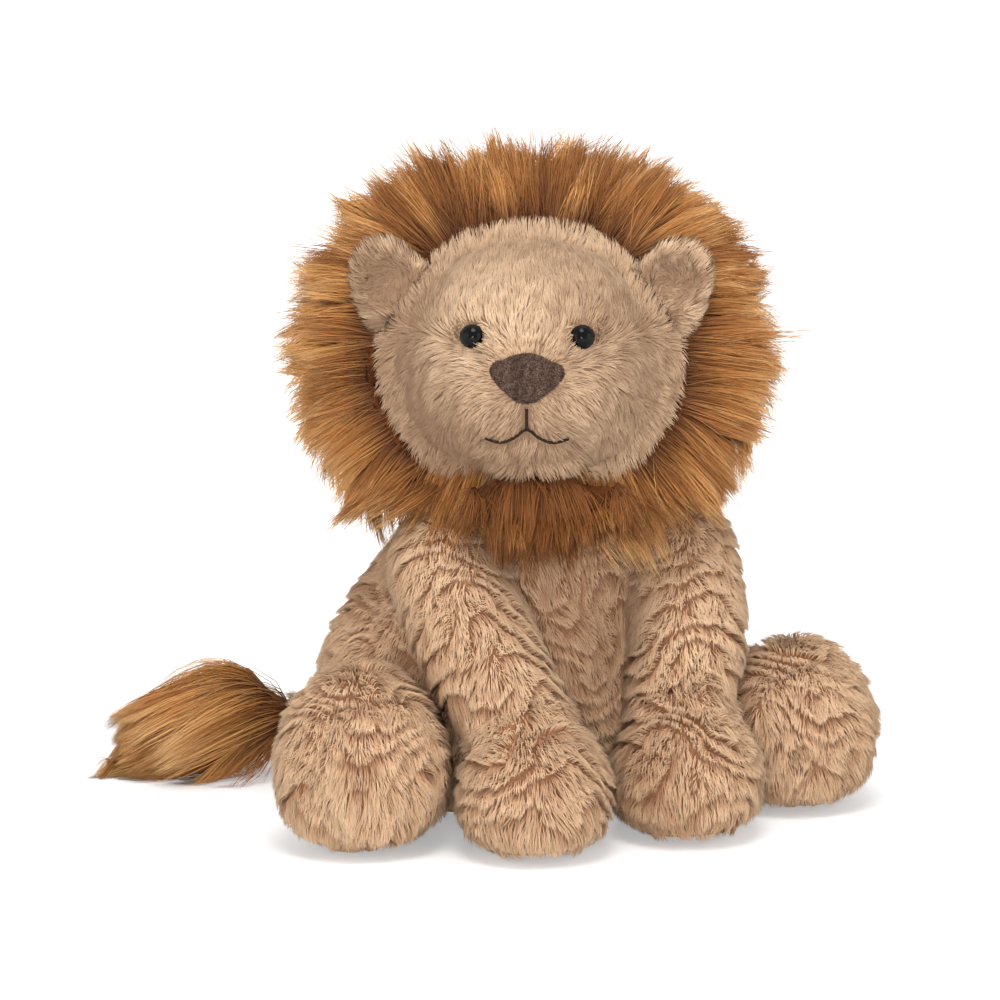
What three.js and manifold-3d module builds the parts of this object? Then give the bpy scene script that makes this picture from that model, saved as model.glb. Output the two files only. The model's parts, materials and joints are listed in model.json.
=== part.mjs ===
// A sitting plush lion: fibre-stuffed body, head and limbs, sewn together at soft seams that flex, a
// bean-weighted seat, a long-pile mane round the head and a tail that ends in a long-pile tuft.
// Millimetres. +Z is up, the lion faces -Y, and the origin is the middle of its flat seat, on the floor.
// Right and left are the lion's own: its right side is at -X.
import * as THREE from "three";
import { mergeVertices } from "three/addons/utils/BufferGeometryUtils.js";
import Module from "manifold-3d";

const wasm = await Module();
wasm.setup();

// Clearances, and how far a cutting form reaches past what it cuts
const sewnGap = 0.3;
const turningGap = 0.5;
const overrun = 60;
const floorFlat = 0.5;
const weldDistance = 0.0005;

// Torso, a pear that sits on its wide end
const torsoHeight = 109.5;
const torsoHalfWidth = 76;
const torsoHalfDepth = 46;
const torsoSag = 5;
const torsoBaseRound = 20;
const torsoTopRound = 14;
const torsoBellyShare = 0.4;
const torsoChestShare = 0.72;
const torsoWidthShares = [0.96, 0.99, 1, 0.99, 0.93, 0.83, 0.72, 0.57, 0.42];
const torsoDepthShares = [0.96, 0.99, 1, 0.98, 0.93, 0.86, 0.77, 0.66, 0.5];

// Seat: the pocket for the beans, the pouch that holds them and the oval panel that closes it
const seatHalfWidth = 43;
const seatHalfDepth = 26;
const seatThickness = 3;
const seatEdgeRound = 0.8;
const pocketHeight = 27;
const pouchRoundShare = 0.45;

// Neck, a stuffed ball sewn between the torso and the head
const neckRadius = 20;
const neckX = -4;
const neckY = -8;

// Head, turned to its right, with cheeks and a muzzle
const headTurn = THREE.MathUtils.degToRad(-22.5);
const turnRight = THREE.MathUtils.degToRad(5);
const turnLeft = THREE.MathUtils.degToRad(25);
const nodRoom = THREE.MathUtils.degToRad(6);
const headLift = 0.5;
const headForward = 15;
const headHalfWidth = 46.5;
const headRise = 39.5;
const headDrop = 44;
const headFrontReach = 41;
const headBackReach = 40;
const headFullness = 2.4;
const headCrownShare = 0.13;
const crownStartShare = 0.7;
const headRingCount = 13;
const headSpokes = 28;
const muzzleRise = 7;
const muzzleDrop = 14;
const muzzleSpread = 19;
const cheekRise = 4;
const cheekOut = 40;
const cheekDrop = 14;
const cheekSpread = 24;
const cheekBackShare = -0.5;
const cheekFrontShare = 0.3;
const chinRise = 3;
const chinDrop = 34;
const chinSpread = 12;

// Eyes, each a glossy dome on a stem, held from inside by a washer
const eyeRadius = 4;
const eyeDomeHeight = 3.4;
const eyeFromMiddle = 17.2;
const eyeHeight = 9.8;
const eyeStemRadius = 1.6;
const eyeStemLength = 11;
const washerRadius = 4.6;
const washerThickness = 1.6;
const washerDepth = 6.5;

// Nose, a padded triangle with its point down, and the sewn mouth under it
const noseHalfWidth = 10.6;
const noseHeight = 16;
const noseTop = 5;
const noseArch = 2.6;
const noseBulgeShare = 0.85;
const noseRound = 3.2;
const noseProud = 2.2;
const noseEdgeRound = 1.2;
const mouthThread = 1.5;
const mouthHalfWidth = 13;
const mouthDrop = 18.6;
const mouthDip = 4.2;
const mouthCornerRise = 1.2;
const mouthAcrossShares = [0, 0.3, 0.6, 0.84];
const mouthDipShares = [0, 0.66, 1, 0.88];

// Ears, rounded pads that are hollowed in front
const earHalfHeight = 15.8;
const earHalfWidth = 13.5;
const earHalfDepth = 6;
const earFromMiddle = 45.3;
const earHeight = 22.5;
const earForward = 12;
const earHollow = 3;
const earRim = 5.2;
const earLeanShare = 0.35;
const earCreaseShare = 0.7;
const earFold = THREE.MathUtils.degToRad(25);

// Mane: a ruff round the face, a hood over the back of the head and a bib under the chin
const maneHalfWidth = 77.5;
const maneRise = 69;
const maneDrop = 76;
const maneTilt = THREE.MathUtils.degToRad(18);
const maneBackReach = 62;
const maneFullness = 2.35;
const maneLowFullness = 2.12;
const maneLocks = 18;
const maneLockDepth = 5;
const lockStartShare = 0.6;
const collarShare = 0.5;
const maneSplit = 20;
const maneSway = 4;
const bibHalfWidth = 27;
const bibHalfDepth = 5.5;
const bibTopDrop = 32;
const bibBottomDrop = 53;
const bibForward = 37;
const bibLocks = 3;
const bibLockDepth = 3;

// Forelegs, which hang from the shoulders and end in broad paws on the floor
const rightShoulderX = 43;
const leftShoulderX = 39.5;
const shoulderY = -30;
const shoulderZ = 86.5;
const forelegRadius = 19.3;
const ankleX = 28;
const ankleZ = 38;
const ankleBehindPaw = 12;
const kneeBow = 5;
const kneeShare = 0.55;
const kneeAsideShare = 0.4;
const foreSwing = THREE.MathUtils.degToRad(25);
const forepawX = 27;
const rightForepawY = -73;
const leftForepawY = -68;
const forepawHalfWidth = 25.3;
const forepawHalfDepth = 26;
const forepawHeight = 49;
const forepawLean = 6;
const forepawRound = 18;
const forepawTopRound = 20;
const forelegShares = [0.95, 0.98, 1.02, 1.02, 0.98, 0.94, 0.9];
const forepawShares = [0.94, 0.99, 1, 0.97, 0.88, 0.76, 0.62];

// Hind legs, which lie forward from the hips and end in upright feet
const hipX = 58;
const hipY = -16;
const hipZ = 29;
const thighRadius = 22;
const thighRound = 12;
const hindCreaseX = 78;
const hindCreaseY = -10;
const hindfootX = 74.3;
const rightHindfootY = -47;
const leftHindfootY = -42;
const rightHindfootHeight = 61.5;
const leftHindfootHeight = 58.5;
const hindfootHalfWidth = 28.6;
const hindfootHalfDepth = 23.5;
const hindfootLean = 3;
const hindfootLeanAside = 4;
const hindfootRound = 22;
const hindfootTopRound = 26;
const hindfootShares = [0.9, 0.98, 1, 1, 0.96, 0.88, 0.76];

// Sole panels, set into the underside of the forepaws and the face of the hind feet
const soleThickness = 2.5;
const soleEdgeRound = 0.6;
const hindSplay = THREE.MathUtils.degToRad(25);
const soleShare = 0.58;
const hindSoleShare = 0.7;
const hindSoleRiseShare = 0.48;

// Tail: a stuffed stalk that curls to the right, and its long-pile tuft
const tailX = -10;
const tailY = 46;
const tailZ = 16;
const tailRadius = 10;
const tailReach = 60;
const tailBack = 13;
const tailSwing = THREE.MathUtils.degToRad(60);
const stalkStartShare = 0.8;
const stalkInsetShare = 0.6;
const stalkReachShares = [0.3, 0.7];
const stalkBackShare = 0.7;
const stalkRiseShares = [0.3, 0.4];
const tuftStart = 56;
const tuftLength = 66;
const tuftHalfThickness = 19.5;
const tuftHalfWidth = 16;
const tuftRise = 5;
const tuftDroop = 15.5;
const tuftBack = 15;
const tuftLocks = 6;
const tuftLockDepth = 2;
const tuftShares = [0.5, 0.86, 1, 0.98, 0.84, 0.62, 0.38, 0.16];
const tuftReachShares = [0, 0.36, 0.67, 0.98];
const tuftBackShares = [0, 0.3, 0.65, 1];
const tuftRiseShares = [0.4, 1, 1, 1];
const tuftDroopShares = [0, 0, 0.4, 1.2];

// The lion's two sides, with where each one's shoulder, paw and foot are, and how high its foot stands
const sides = [
  {
    name: "right",
    sign: -1,
    shoulderX: rightShoulderX,
    forepawY: rightForepawY,
    hindfootY: rightHindfootY,
    hindfootHeight: rightHindfootHeight,
  },
  {
    name: "left",
    sign: 1,
    shoulderX: leftShoulderX,
    forepawY: leftForepawY,
    hindfootY: leftHindfootY,
    hindfootHeight: leftHindfootHeight,
  },
];

// Colours and finishes
const plush = () => new THREE.MeshStandardMaterial({ color: 0xc39a72, roughness: 1, metalness: 0 });
const longPile = () => new THREE.MeshStandardMaterial({ color: 0x9a5a22, roughness: 0.9, metalness: 0 });
const felt = () => new THREE.MeshStandardMaterial({ color: 0x5a4539, roughness: 0.95, metalness: 0 });
const thread = () => new THREE.MeshStandardMaterial({ color: 0x2c211c, roughness: 0.7, metalness: 0 });
const blackGloss = () => new THREE.MeshStandardMaterial({ color: 0x0b0908, roughness: 0.08, metalness: 0 });
const whitePlastic = () => new THREE.MeshStandardMaterial({ color: 0xe9e6df, roughness: 0.5, metalness: 0 });
const cotton = () => new THREE.MeshStandardMaterial({ color: 0xe6dfcf, roughness: 0.9, metalness: 0 });

const quarterTurn = Math.PI / 2;
const fullTurn = Math.PI * 2;
const ovalSpokes = 16;
const vec = (x, y, z) => new THREE.Vector3(x, y, z);
const alongX = vec(1, 0, 0);
const alongZ = vec(0, 0, 1);

// Reads evenly spaced values at a share of their length, on a smooth line through them.
function readAlong(values, share) {
  const points = values.map((value, place) => new THREE.Vector2(place, value));
  return new THREE.SplineCurve(points).getPoint(share).y;
}

// A closed surface through rings of points, from its start pole to its end pole.
function closedRings(rings, startPole, endPole) {
  const count = rings[0].length;
  const points = [startPole, ...rings.flat(), endPole];
  const at = (ring, spoke) => 1 + ring * count + (spoke % count);
  const faces = [];
  for (let spoke = 0; spoke < count; spoke += 1) {
    faces.push(0, at(0, spoke + 1), at(0, spoke));
    for (let ring = 0; ring < rings.length - 1; ring += 1) {
      faces.push(at(ring, spoke), at(ring, spoke + 1), at(ring + 1, spoke));
      faces.push(at(ring, spoke + 1), at(ring + 1, spoke + 1), at(ring + 1, spoke));
    }
    faces.push(points.length - 1, at(rings.length - 1, spoke), at(rings.length - 1, spoke + 1));
  }
  return new THREE.BufferGeometry().setFromPoints(points).setIndex(faces);
}

// A stuffed form: oval rings along a smooth spine, drawn in to a round cap at each end. The shares say
// how it swells and tapers; a cap's fullness is 2 where it is round, and more where it is flattened.
function stuffed(form) {
  const { spine, across, halfWidth, halfDepth, startRound, endRound } = form;
  const { widthShares, depthShares = widthShares, startFullness = 2, endFullness = 2 } = form;
  const { rings = 8, capRings = 3, spokes = 16, locks = 0, lockDepth = 0 } = form;
  const curve = new THREE.CatmullRomCurve3(spine, false, "centripetal");
  const length = curve.getLength();
  const startShare = startRound / length;
  const endShare = endRound / length;
  const capShare = (step) => 1 - Math.cos((step / capRings) * quarterTurn);
  const shares = [];
  for (let step = 1; step <= capRings; step += 1) shares.push(startShare * capShare(step));
  for (let step = 1; step < rings; step += 1) {
    shares.push(THREE.MathUtils.lerp(startShare, 1 - endShare, step / rings));
  }
  for (let step = capRings; step > 0; step -= 1) shares.push(1 - endShare * capShare(step));
  const drawnIn = (share, cap, fullness) => {
    const off = Math.max(0, 1 - share / cap);
    return (1 - off ** fullness) ** (1 / fullness);
  };
  const ringAt = (share) => {
    const middle = curve.getPointAt(share);
    const ahead = curve.getTangentAt(share);
    const aside = across.clone().addScaledVector(ahead, -ahead.dot(across)).normalize();
    const deep = ahead.clone().cross(aside);
    const size = drawnIn(share, startShare, startFullness) * drawnIn(1 - share, endShare, endFullness);
    const wide = halfWidth * readAlong(widthShares, share) * size;
    const thick = halfDepth * readAlong(depthShares, share) * size;
    return Array.from({ length: spokes }, (_, spoke) => {
      const angle = (spoke / spokes) * fullTurn;
      const groove = 1 - ((lockDepth / halfWidth) * (1 - Math.cos(angle * locks))) / 2;
      return middle
        .clone()
        .addScaledVector(aside, wide * Math.cos(angle) * groove)
        .addScaledVector(deep, thick * Math.sin(angle) * groove);
    });
  };
  return closedRings(shares.map(ringAt), curve.getPoint(0), curve.getPoint(1));
}

// A round form about its own middle, with its poles at front and back. reach gives how far the surface
// lies in each direction; angles are those of its rings, from the front pole.
function rounded(reach, angles, spokes) {
  const pointAt = (angle, turn) => {
    const outward = Math.sin(angle);
    const direction = vec(outward * Math.cos(turn), -Math.cos(angle), -outward * Math.sin(turn));
    return direction.multiplyScalar(reach(direction.clone(), angle, turn));
  };
  const rings = angles.map((angle) =>
    Array.from({ length: spokes }, (_, spoke) => pointAt(angle, (spoke / spokes) * fullTurn)),
  );
  return closedRings(rings, pointAt(0, 0), pointAt(Math.PI, 0));
}

// A flat oval panel with softened edges, lying on z = 0.
function ovalPanel(halfWidth, halfDepth, thickness, edgeRound) {
  const outline = new THREE.Shape();
  outline.absellipse(0, 0, halfWidth - edgeRound, halfDepth - edgeRound, 0, fullTurn);
  const panel = new THREE.ExtrudeGeometry(outline, {
    depth: thickness - 2 * edgeRound,
    bevelThickness: edgeRound,
    bevelSize: edgeRound,
    bevelSegments: 1,
    curveSegments: ovalSpokes / 2,
  });
  return panel.translate(0, 0, edgeRound);
}

// A round pin along Z, from z = 0 up.
function pin(radius, height) {
  const cylinder = new THREE.CylinderGeometry(radius, radius, height, 12);
  return cylinder.rotateX(quarterTurn).translate(0, 0, height / 2);
}

// A copy with shared corners, which joins and cuts need.
function welded(geometry) {
  const bare = new THREE.BufferGeometry().setAttribute("position", geometry.getAttribute("position"));
  bare.setIndex(geometry.getIndex());
  return mergeVertices(bare, weldDistance);
}

function asSolid(geometry) {
  const shared = welded(geometry);
  return new wasm.Manifold(
    new wasm.Mesh({
      numProp: 3,
      vertProperties: new Float32Array(shared.getAttribute("position").array),
      triVerts: new Uint32Array(shared.getIndex().array),
    }),
  );
}

function asGeometry(made) {
  const { vertProperties, triVerts } = made.getMesh();
  const geometry = new THREE.BufferGeometry();
  geometry.setAttribute("position", new THREE.BufferAttribute(vertProperties, 3));
  return geometry.setIndex(new THREE.BufferAttribute(triVerts, 1));
}

const cut = (geometry, ...tools) =>
  asGeometry(tools.reduce((made, tool) => made.subtract(asSolid(tool)), asSolid(geometry)));
const joined = (geometry, ...others) =>
  asGeometry(others.reduce((made, other) => made.add(asSolid(other)), asSolid(geometry)));
const common = (geometry, other) => asGeometry(asSolid(geometry).intersect(asSolid(other)));

// The same form with its skin moved outwards, which leaves a gap of that width when it cuts a neighbour.
function swollen(geometry, gap) {
  const grown = welded(geometry);
  grown.computeVertexNormals();
  const places = grown.getAttribute("position");
  const normals = grown.getAttribute("normal");
  for (let i = 0; i < places.count; i += 1) {
    const place = vec(0, 0, 0).fromBufferAttribute(places, i);
    place.addScaledVector(vec(0, 0, 0).fromBufferAttribute(normals, i), gap);
    places.setXYZ(i, ...place.toArray());
  }
  grown.deleteAttribute("normal");
  return grown;
}

// The block under the floor, which flattens what rests on it.
function belowFloor(z) {
  return new THREE.BoxGeometry(4 * overrun, 4 * overrun, overrun).translate(0, 0, z - overrun / 2);
}

const ball = (radius, spokes = 14) => new THREE.SphereGeometry(radius, spokes, Math.round(spokes * 0.7));
// A ball whose facets keep outside the given radius, for a seat that a ball turns in.
const ballSeat = (radius, spokes = 14) => ball(radius / Math.cos(Math.PI / spokes) ** 2, spokes);

const lion = new THREE.Group();
const torsoBody = new THREE.Group();
const neckBody = new THREE.Group();
const headBody = new THREE.Group();
lion.add(torsoBody);
torsoBody.add(neckBody);
neckBody.add(headBody);
neckBody.position.set(neckX, neckY, torsoHeight);
headBody.rotation.z = headTurn;
headBody.position.set(
  headForward * Math.sin(headTurn),
  -headForward * Math.cos(headTurn),
  headDrop + headLift,
);

function place(name, geometry, material, parent) {
  const mesh = new THREE.Mesh(geometry, material);
  mesh.name = name;
  parent.add(mesh);
  return mesh;
}

// A neighbour's form as the given body sees it, grown by the gap to keep.
function neighbour(mesh, body, gap) {
  lion.updateMatrixWorld(true);
  const intoBody = body.matrixWorld.clone().invert().multiply(mesh.matrixWorld);
  return swollen(mesh.geometry.clone().applyMatrix4(intoBody), gap);
}

// The room that a form takes up as it turns about an axis through the pivot, as a few of its places.
function swept(geometry, pivot, axis, angle) {
  const steps = 6;
  return Array.from({ length: steps + 1 }, (_, step) => {
    const turn = new THREE.Quaternion().setFromAxisAngle(axis, (angle * step) / steps);
    const turned = geometry.clone().translate(-pivot.x, -pivot.y, -pivot.z).applyQuaternion(turn);
    return turned.translate(pivot.x, pivot.y, pivot.z);
  });
}

const torsoForm = stuffed({
  spine: [
    vec(0, 0, -floorFlat),
    vec(0, torsoSag, torsoHeight * torsoBellyShare),
    vec(0, torsoSag * torsoBellyShare, torsoHeight * torsoChestShare),
    vec(neckX, neckY, torsoHeight),
  ],
  across: alongX,
  halfWidth: torsoHalfWidth,
  halfDepth: torsoHalfDepth,
  startRound: torsoBaseRound,
  endRound: torsoTopRound,
  widthShares: torsoWidthShares,
  depthShares: torsoDepthShares,
  startFullness: 5,
  rings: 6,
  capRings: 4,
  spokes: 24,
});

// Torso, with its bean pocket, and a round seat for the neck, each shoulder and the tail
function makeTorso() {
  const pocket = ovalPanel(seatHalfWidth, seatHalfDepth, pocketHeight + floorFlat, seatEdgeRound);
  const seats = [
    ballSeat(neckRadius + turningGap).translate(neckX, neckY, torsoHeight),
    ...sides.map(({ sign, shoulderX }) =>
      ballSeat(forelegRadius + turningGap).translate(sign * shoulderX, shoulderY, shoulderZ),
    ),
    ballSeat(tailRadius + turningGap).translate(tailX, tailY, tailZ),
  ];
  return cut(torsoForm, belowFloor(0), pocket.translate(0, 0, -floorFlat), ...seats);
}

function makePouch() {
  const height = pocketHeight - seatThickness - 2 * sewnGap;
  return stuffed({
    spine: [vec(0, 0, 0), vec(0, 0, height)],
    across: alongX,
    halfWidth: seatHalfWidth - 2 * sewnGap,
    halfDepth: seatHalfDepth - 2 * sewnGap,
    startRound: height * pouchRoundShare,
    endRound: height * pouchRoundShare,
    widthShares: [1, 1],
    startFullness: 3,
    endFullness: 3,
    rings: 1,
    spokes: ovalSpokes,
  }).translate(0, 0, seatThickness + sewnGap);
}

const torso = place("torso", makeTorso(), plush(), torsoBody);
place("bean_pouch", makePouch(), cotton(), torsoBody);
place(
  "seat_panel",
  ovalPanel(seatHalfWidth - sewnGap, seatHalfDepth - sewnGap, seatThickness, seatEdgeRound),
  plush(),
  torsoBody,
);
place("neck", ball(neckRadius, 16), plush(), neckBody);

// Head: an egg that widens at the cheeks and swells at the muzzle and chin, with a bore for each eye
const bump = (x, z, spot, spread) => Math.exp(-((x - spot.x) ** 2 + (z - spot.z) ** 2) / (2 * spread ** 2));

function headReach(direction) {
  const crown = headCrownShare * THREE.MathUtils.smoothstep(direction.z, 0, crownStartShare);
  const wide = headHalfWidth * (1 - crown);
  const deep = direction.y < 0 ? headFrontReach : headBackReach;
  const tall = direction.z > 0 ? headRise : headDrop;
  const reach =
    (Math.abs(direction.x / wide) ** headFullness +
      Math.abs(direction.y / deep) ** headFullness +
      Math.abs(direction.z / tall) ** headFullness) **
    (-1 / headFullness);
  const x = direction.x * reach;
  const z = direction.z * reach;
  const facing = Math.max(0, -direction.y);
  const muzzle = muzzleRise * bump(x, z, { x: 0, z: -muzzleDrop }, muzzleSpread) * facing;
  const cheek = cheekRise * bump(Math.abs(x), z, { x: cheekOut, z: -cheekDrop }, cheekSpread);
  const chin = chinRise * bump(x, z, { x: 0, z: -chinDrop }, chinSpread) * facing;
  const forward = THREE.MathUtils.smoothstep(-direction.y, cheekBackShare, cheekFrontShare);
  return reach + muzzle + chin + cheek * forward;
}

const headRingStep = Math.PI / (headRingCount + 1);
const headRings = Array.from({ length: headRingCount }, (_, ring) => (ring + 1) * headRingStep);
const headForm = rounded(headReach, headRings, headSpokes);

// Where a line along the head's depth meets its face, and the way the skin looks there.
const faceProbe = new THREE.Mesh(headForm.clone().toNonIndexed());
function onFace(x, z) {
  const ray = new THREE.Raycaster(vec(x, -2 * headFrontReach, z), vec(0, 1, 0));
  const [hit] = ray.intersectObject(faceProbe);
  return { point: hit.point.clone(), normal: hit.face.normal.clone() };
}

// Lays a form that stands up along +Z on the face, sunk by depth.
function onFaceAlong(geometry, { point, normal }, depth) {
  const turn = new THREE.Quaternion().setFromUnitVectors(vec(0, 0, 1), normal);
  const seat = point.clone().addScaledVector(normal, -depth);
  return geometry.applyQuaternion(turn).translate(...seat.toArray());
}

const eyePlaces = sides.map(({ name, sign }) => ({ name, ...onFace(sign * eyeFromMiddle, eyeHeight) }));
const eyeBores = eyePlaces.flatMap((spot) => [
  onFaceAlong(pin(eyeStemRadius + sewnGap, eyeStemLength + overrun), spot, eyeStemLength + sewnGap),
  onFaceAlong(pin(washerRadius + sewnGap, washerThickness + 2 * sewnGap), spot, washerDepth + sewnGap),
]);
const neckSeat = ballSeat(neckRadius + turningGap).translate(0, headForward, -headDrop - headLift);
const head = place("head", cut(headForm, ...eyeBores, neckSeat), plush(), headBody);

// A dome whose rim lies 0.3 mm off the face, on a stem; the stem is barbed in the real thing, plain here.
function makeEye() {
  const profile = [new THREE.Vector2(0, -eyeStemLength), new THREE.Vector2(eyeStemRadius, -eyeStemLength)];
  profile.push(new THREE.Vector2(eyeStemRadius, 0), new THREE.Vector2(eyeRadius, 0));
  for (let step = 1; step <= 5; step += 1) {
    const angle = (step / 5) * quarterTurn;
    profile.push(new THREE.Vector2(eyeRadius * Math.cos(angle), eyeDomeHeight * Math.sin(angle)));
  }
  profile[profile.length - 1].x = 0;
  return new THREE.LatheGeometry(profile, 16).rotateX(quarterTurn);
}

function makeWasher() {
  const boreRadius = eyeStemRadius + sewnGap;
  const profile = [
    new THREE.Vector2(boreRadius, 0),
    new THREE.Vector2(washerRadius, 0),
    new THREE.Vector2(washerRadius, washerThickness),
    new THREE.Vector2(boreRadius, washerThickness),
    new THREE.Vector2(boreRadius, 0),
  ];
  return new THREE.LatheGeometry(profile, 16).rotateX(quarterTurn);
}

for (const spot of eyePlaces) {
  const eye = onFaceAlong(makeEye(), spot, -sewnGap);
  place(`eye_${spot.name}`, cut(eye, swollen(headForm, sewnGap / 2)), blackGloss(), headBody);
  place(`eye_washer_${spot.name}`, onFaceAlong(makeWasher(), spot, washerDepth), whitePlastic(), headBody);
}

// Nose: a triangle with an arched top, rounded corners and its point down, drawn about its own middle
function makeNose() {
  const half = noseHeight / 2;
  const outline = new THREE.Shape();
  const corner = half - noseArch;
  outline.moveTo(noseRound - noseHalfWidth, corner);
  outline.quadraticCurveTo(0, half + noseArch, noseHalfWidth - noseRound, corner);
  outline.quadraticCurveTo(noseHalfWidth, corner, noseHalfWidth, corner - noseRound);
  const bulge = noseHalfWidth * noseBulgeShare;
  outline.quadraticCurveTo(bulge, -noseArch / 2, noseRound, noseRound / 2 - half);
  outline.quadraticCurveTo(0, -half, -noseRound, noseRound / 2 - half);
  outline.quadraticCurveTo(-bulge, -noseArch / 2, -noseHalfWidth, corner - noseRound);
  outline.quadraticCurveTo(-noseHalfWidth, corner, noseRound - noseHalfWidth, corner);
  const pad = new THREE.ExtrudeGeometry(outline, {
    depth: 2 * noseProud,
    bevelThickness: noseEdgeRound,
    bevelSize: noseEdgeRound,
    bevelOffset: -noseEdgeRound,
    bevelSegments: 3,
    curveSegments: 5,
  });
  const seat = onFace(0, noseTop - half);
  return cut(onFaceAlong(pad, seat, noseProud + noseEdgeRound), swollen(headForm, sewnGap));
}

// One stitched line of the mouth, laid on the face through the given places.
function stitch(places) {
  const lift = sewnGap + mouthThread / 2;
  const route = places.map(([x, z]) => {
    const { point, normal } = onFace(x, z);
    return point.addScaledVector(normal, lift);
  });
  const section = new THREE.Shape().absarc(0, 0, mouthThread / 2, 0, fullTurn);
  const path = new THREE.CatmullRomCurve3(route, false, "centripetal");
  return new THREE.ExtrudeGeometry(section, {
    steps: 2 * places.length,
    curveSegments: 3,
    extrudePath: path,
  });
}

function makeMouth() {
  const half = mouthAcrossShares.map((share, place) => [
    share * mouthHalfWidth,
    -mouthDrop - mouthDip * mouthDipShares[place],
  ]);
  half.push([mouthHalfWidth, mouthCornerRise - mouthDrop - mouthDip]);
  const smile = [...half.slice(1).reverse().map(([x, z]) => [-x, z]), ...half];
  const noseFoot = noseTop - noseHeight;
  const philtrum = [noseFoot - mouthThread / 2, (noseFoot - mouthDrop) / 2, -mouthDrop].map((z) => [0, z]);
  return cut(joined(stitch(smile), stitch(philtrum)), swollen(headForm, sewnGap / 2));
}

place("nose", makeNose(), felt(), headBody);
place("mouth_embroidery", makeMouth(), thread(), headBody);

// Ears: pads that lean outwards, hollowed in front, each folding at the crease along its inner front edge
function makeEar(sign, earBody) {
  const lean = earHalfWidth * earLeanShare;
  const form = stuffed({
    spine: [
      vec(sign * (earFromMiddle - lean), -earForward, earHeight - earHalfHeight),
      vec(sign * (earFromMiddle + lean), -earForward, earHeight + earHalfHeight),
    ],
    across: alongX,
    halfWidth: earHalfWidth,
    halfDepth: earHalfDepth,
    startRound: earHalfHeight,
    endRound: earHalfHeight,
    widthShares: [1, 1, 1],
    rings: 1,
    capRings: 5,
    spokes: 16,
  });
  const hollow = ball(1, 14).scale(earHalfWidth - earRim, earHollow, earHalfHeight - earRim);
  hollow.translate(sign * earFromMiddle, -earForward - earHalfDepth, earHeight);
  const pad = cut(form, hollow, swollen(headForm, turningGap));
  return pad.translate(...earBody.position.clone().negate().toArray());
}

const earRooms = sides.flatMap(({ name, sign }) => {
  const earBody = new THREE.Group();
  const creaseX = earFromMiddle - earHalfWidth * earCreaseShare;
  earBody.position.set(sign * creaseX, -earForward - earHalfDepth, earHeight);
  headBody.add(earBody);
  const ear = place(`ear_${name}`, makeEar(sign, earBody), plush(), earBody);
  return swept(neighbour(ear, headBody, turningGap), earBody.position, alongZ, -sign * earFold);
});

// Mane: grows out of the seam round the face, is widest just behind it and closes over the back of the head
const maneAngles = [0, 48, 64, 71, 78, 85, 92, 100, 111, 125, 140, 155, 168, 180].map(
  THREE.MathUtils.degToRad,
);
const maneShares = [0.5, 0.52, 0.56, 0.64, 0.78, 0.91, 0.99, 1, 0.97, 0.93, 0.9, 0.88, 0.87, 0.87];

function maneReach(direction, angle, turn) {
  const high = Math.sin(turn) < 0;
  const tall = high ? maneRise : maneDrop;
  const fullness = high ? maneFullness : maneLowFullness;
  const outline =
    (Math.abs(Math.cos(turn) / maneHalfWidth) ** fullness + Math.abs(Math.sin(turn) / tall) ** fullness) **
    (-1 / fullness);
  const ring = maneAngles.findIndex((place) => place >= angle - 1e-9);
  const share = maneShares[ring];
  const groove = (1 - Math.cos(turn * maneLocks)) / 2;
  const lock = maneLockDepth * groove * THREE.MathUtils.smoothstep(share, lockStartShare, 1);
  const behind = THREE.MathUtils.smoothstep(angle, maneAngles[7], Math.PI);
  return THREE.MathUtils.lerp(outline * share - lock, maneBackReach, behind);
}

// The room that the torso's top needs under the mane as the head turns and nods.
function collarRoom() {
  const slope = Math.tan(nodRoom);
  const steps = 5;
  const profile = Array.from({ length: steps + 1 }, (_, step) => {
    const share = THREE.MathUtils.lerp(collarShare, 1, step / steps);
    const across = torsoHalfWidth * readAlong(torsoWidthShares, share) + Math.abs(neckX) + sewnGap;
    return new THREE.Vector2(across, torsoHeight * share + across * slope + maneSway);
  });
  const outside = profile[0].x;
  profile.unshift(new THREE.Vector2(0, -overrun), new THREE.Vector2(outside, -overrun));
  profile.push(new THREE.Vector2(0, torsoHeight + torsoTopRound));
  return new THREE.LatheGeometry(profile, 28).rotateX(quarterTurn).translate(neckX, neckY, 0);
}

// The room that one shoulder takes up under the mane, all along the head's turn.
function shoulderRoom({ sign, shoulderX }) {
  const radius = forelegRadius + maneSway;
  const from = vec(sign * shoulderX - neckX, shoulderY - neckY, shoulderZ + maneSway / 2);
  const turned = (angle) => from.clone().applyAxisAngle(vec(0, 0, 1), angle).add(vec(neckX, neckY, 0));
  const steps = 5;
  const route = Array.from({ length: steps + 1 }, (_, step) =>
    turned(THREE.MathUtils.lerp(turnRight, -turnLeft, step / steps)),
  );
  const path = new THREE.CatmullRomCurve3(route, false, "centripetal");
  const section = new THREE.Shape().absarc(0, 0, radius, 0, fullTurn);
  const track = new THREE.ExtrudeGeometry(section, { steps, curveSegments: 8, extrudePath: path });
  const ends = [route[0], route[steps]].map((spot) => ball(radius, 16).translate(...spot.toArray()));
  return joined(track, ...ends);
}

// A form placed in the part's frame, as the given body sees it.
function seenFrom(body, geometry) {
  lion.updateMatrixWorld(true);
  return geometry.clone().applyMatrix4(body.matrixWorld.clone().invert());
}

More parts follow.
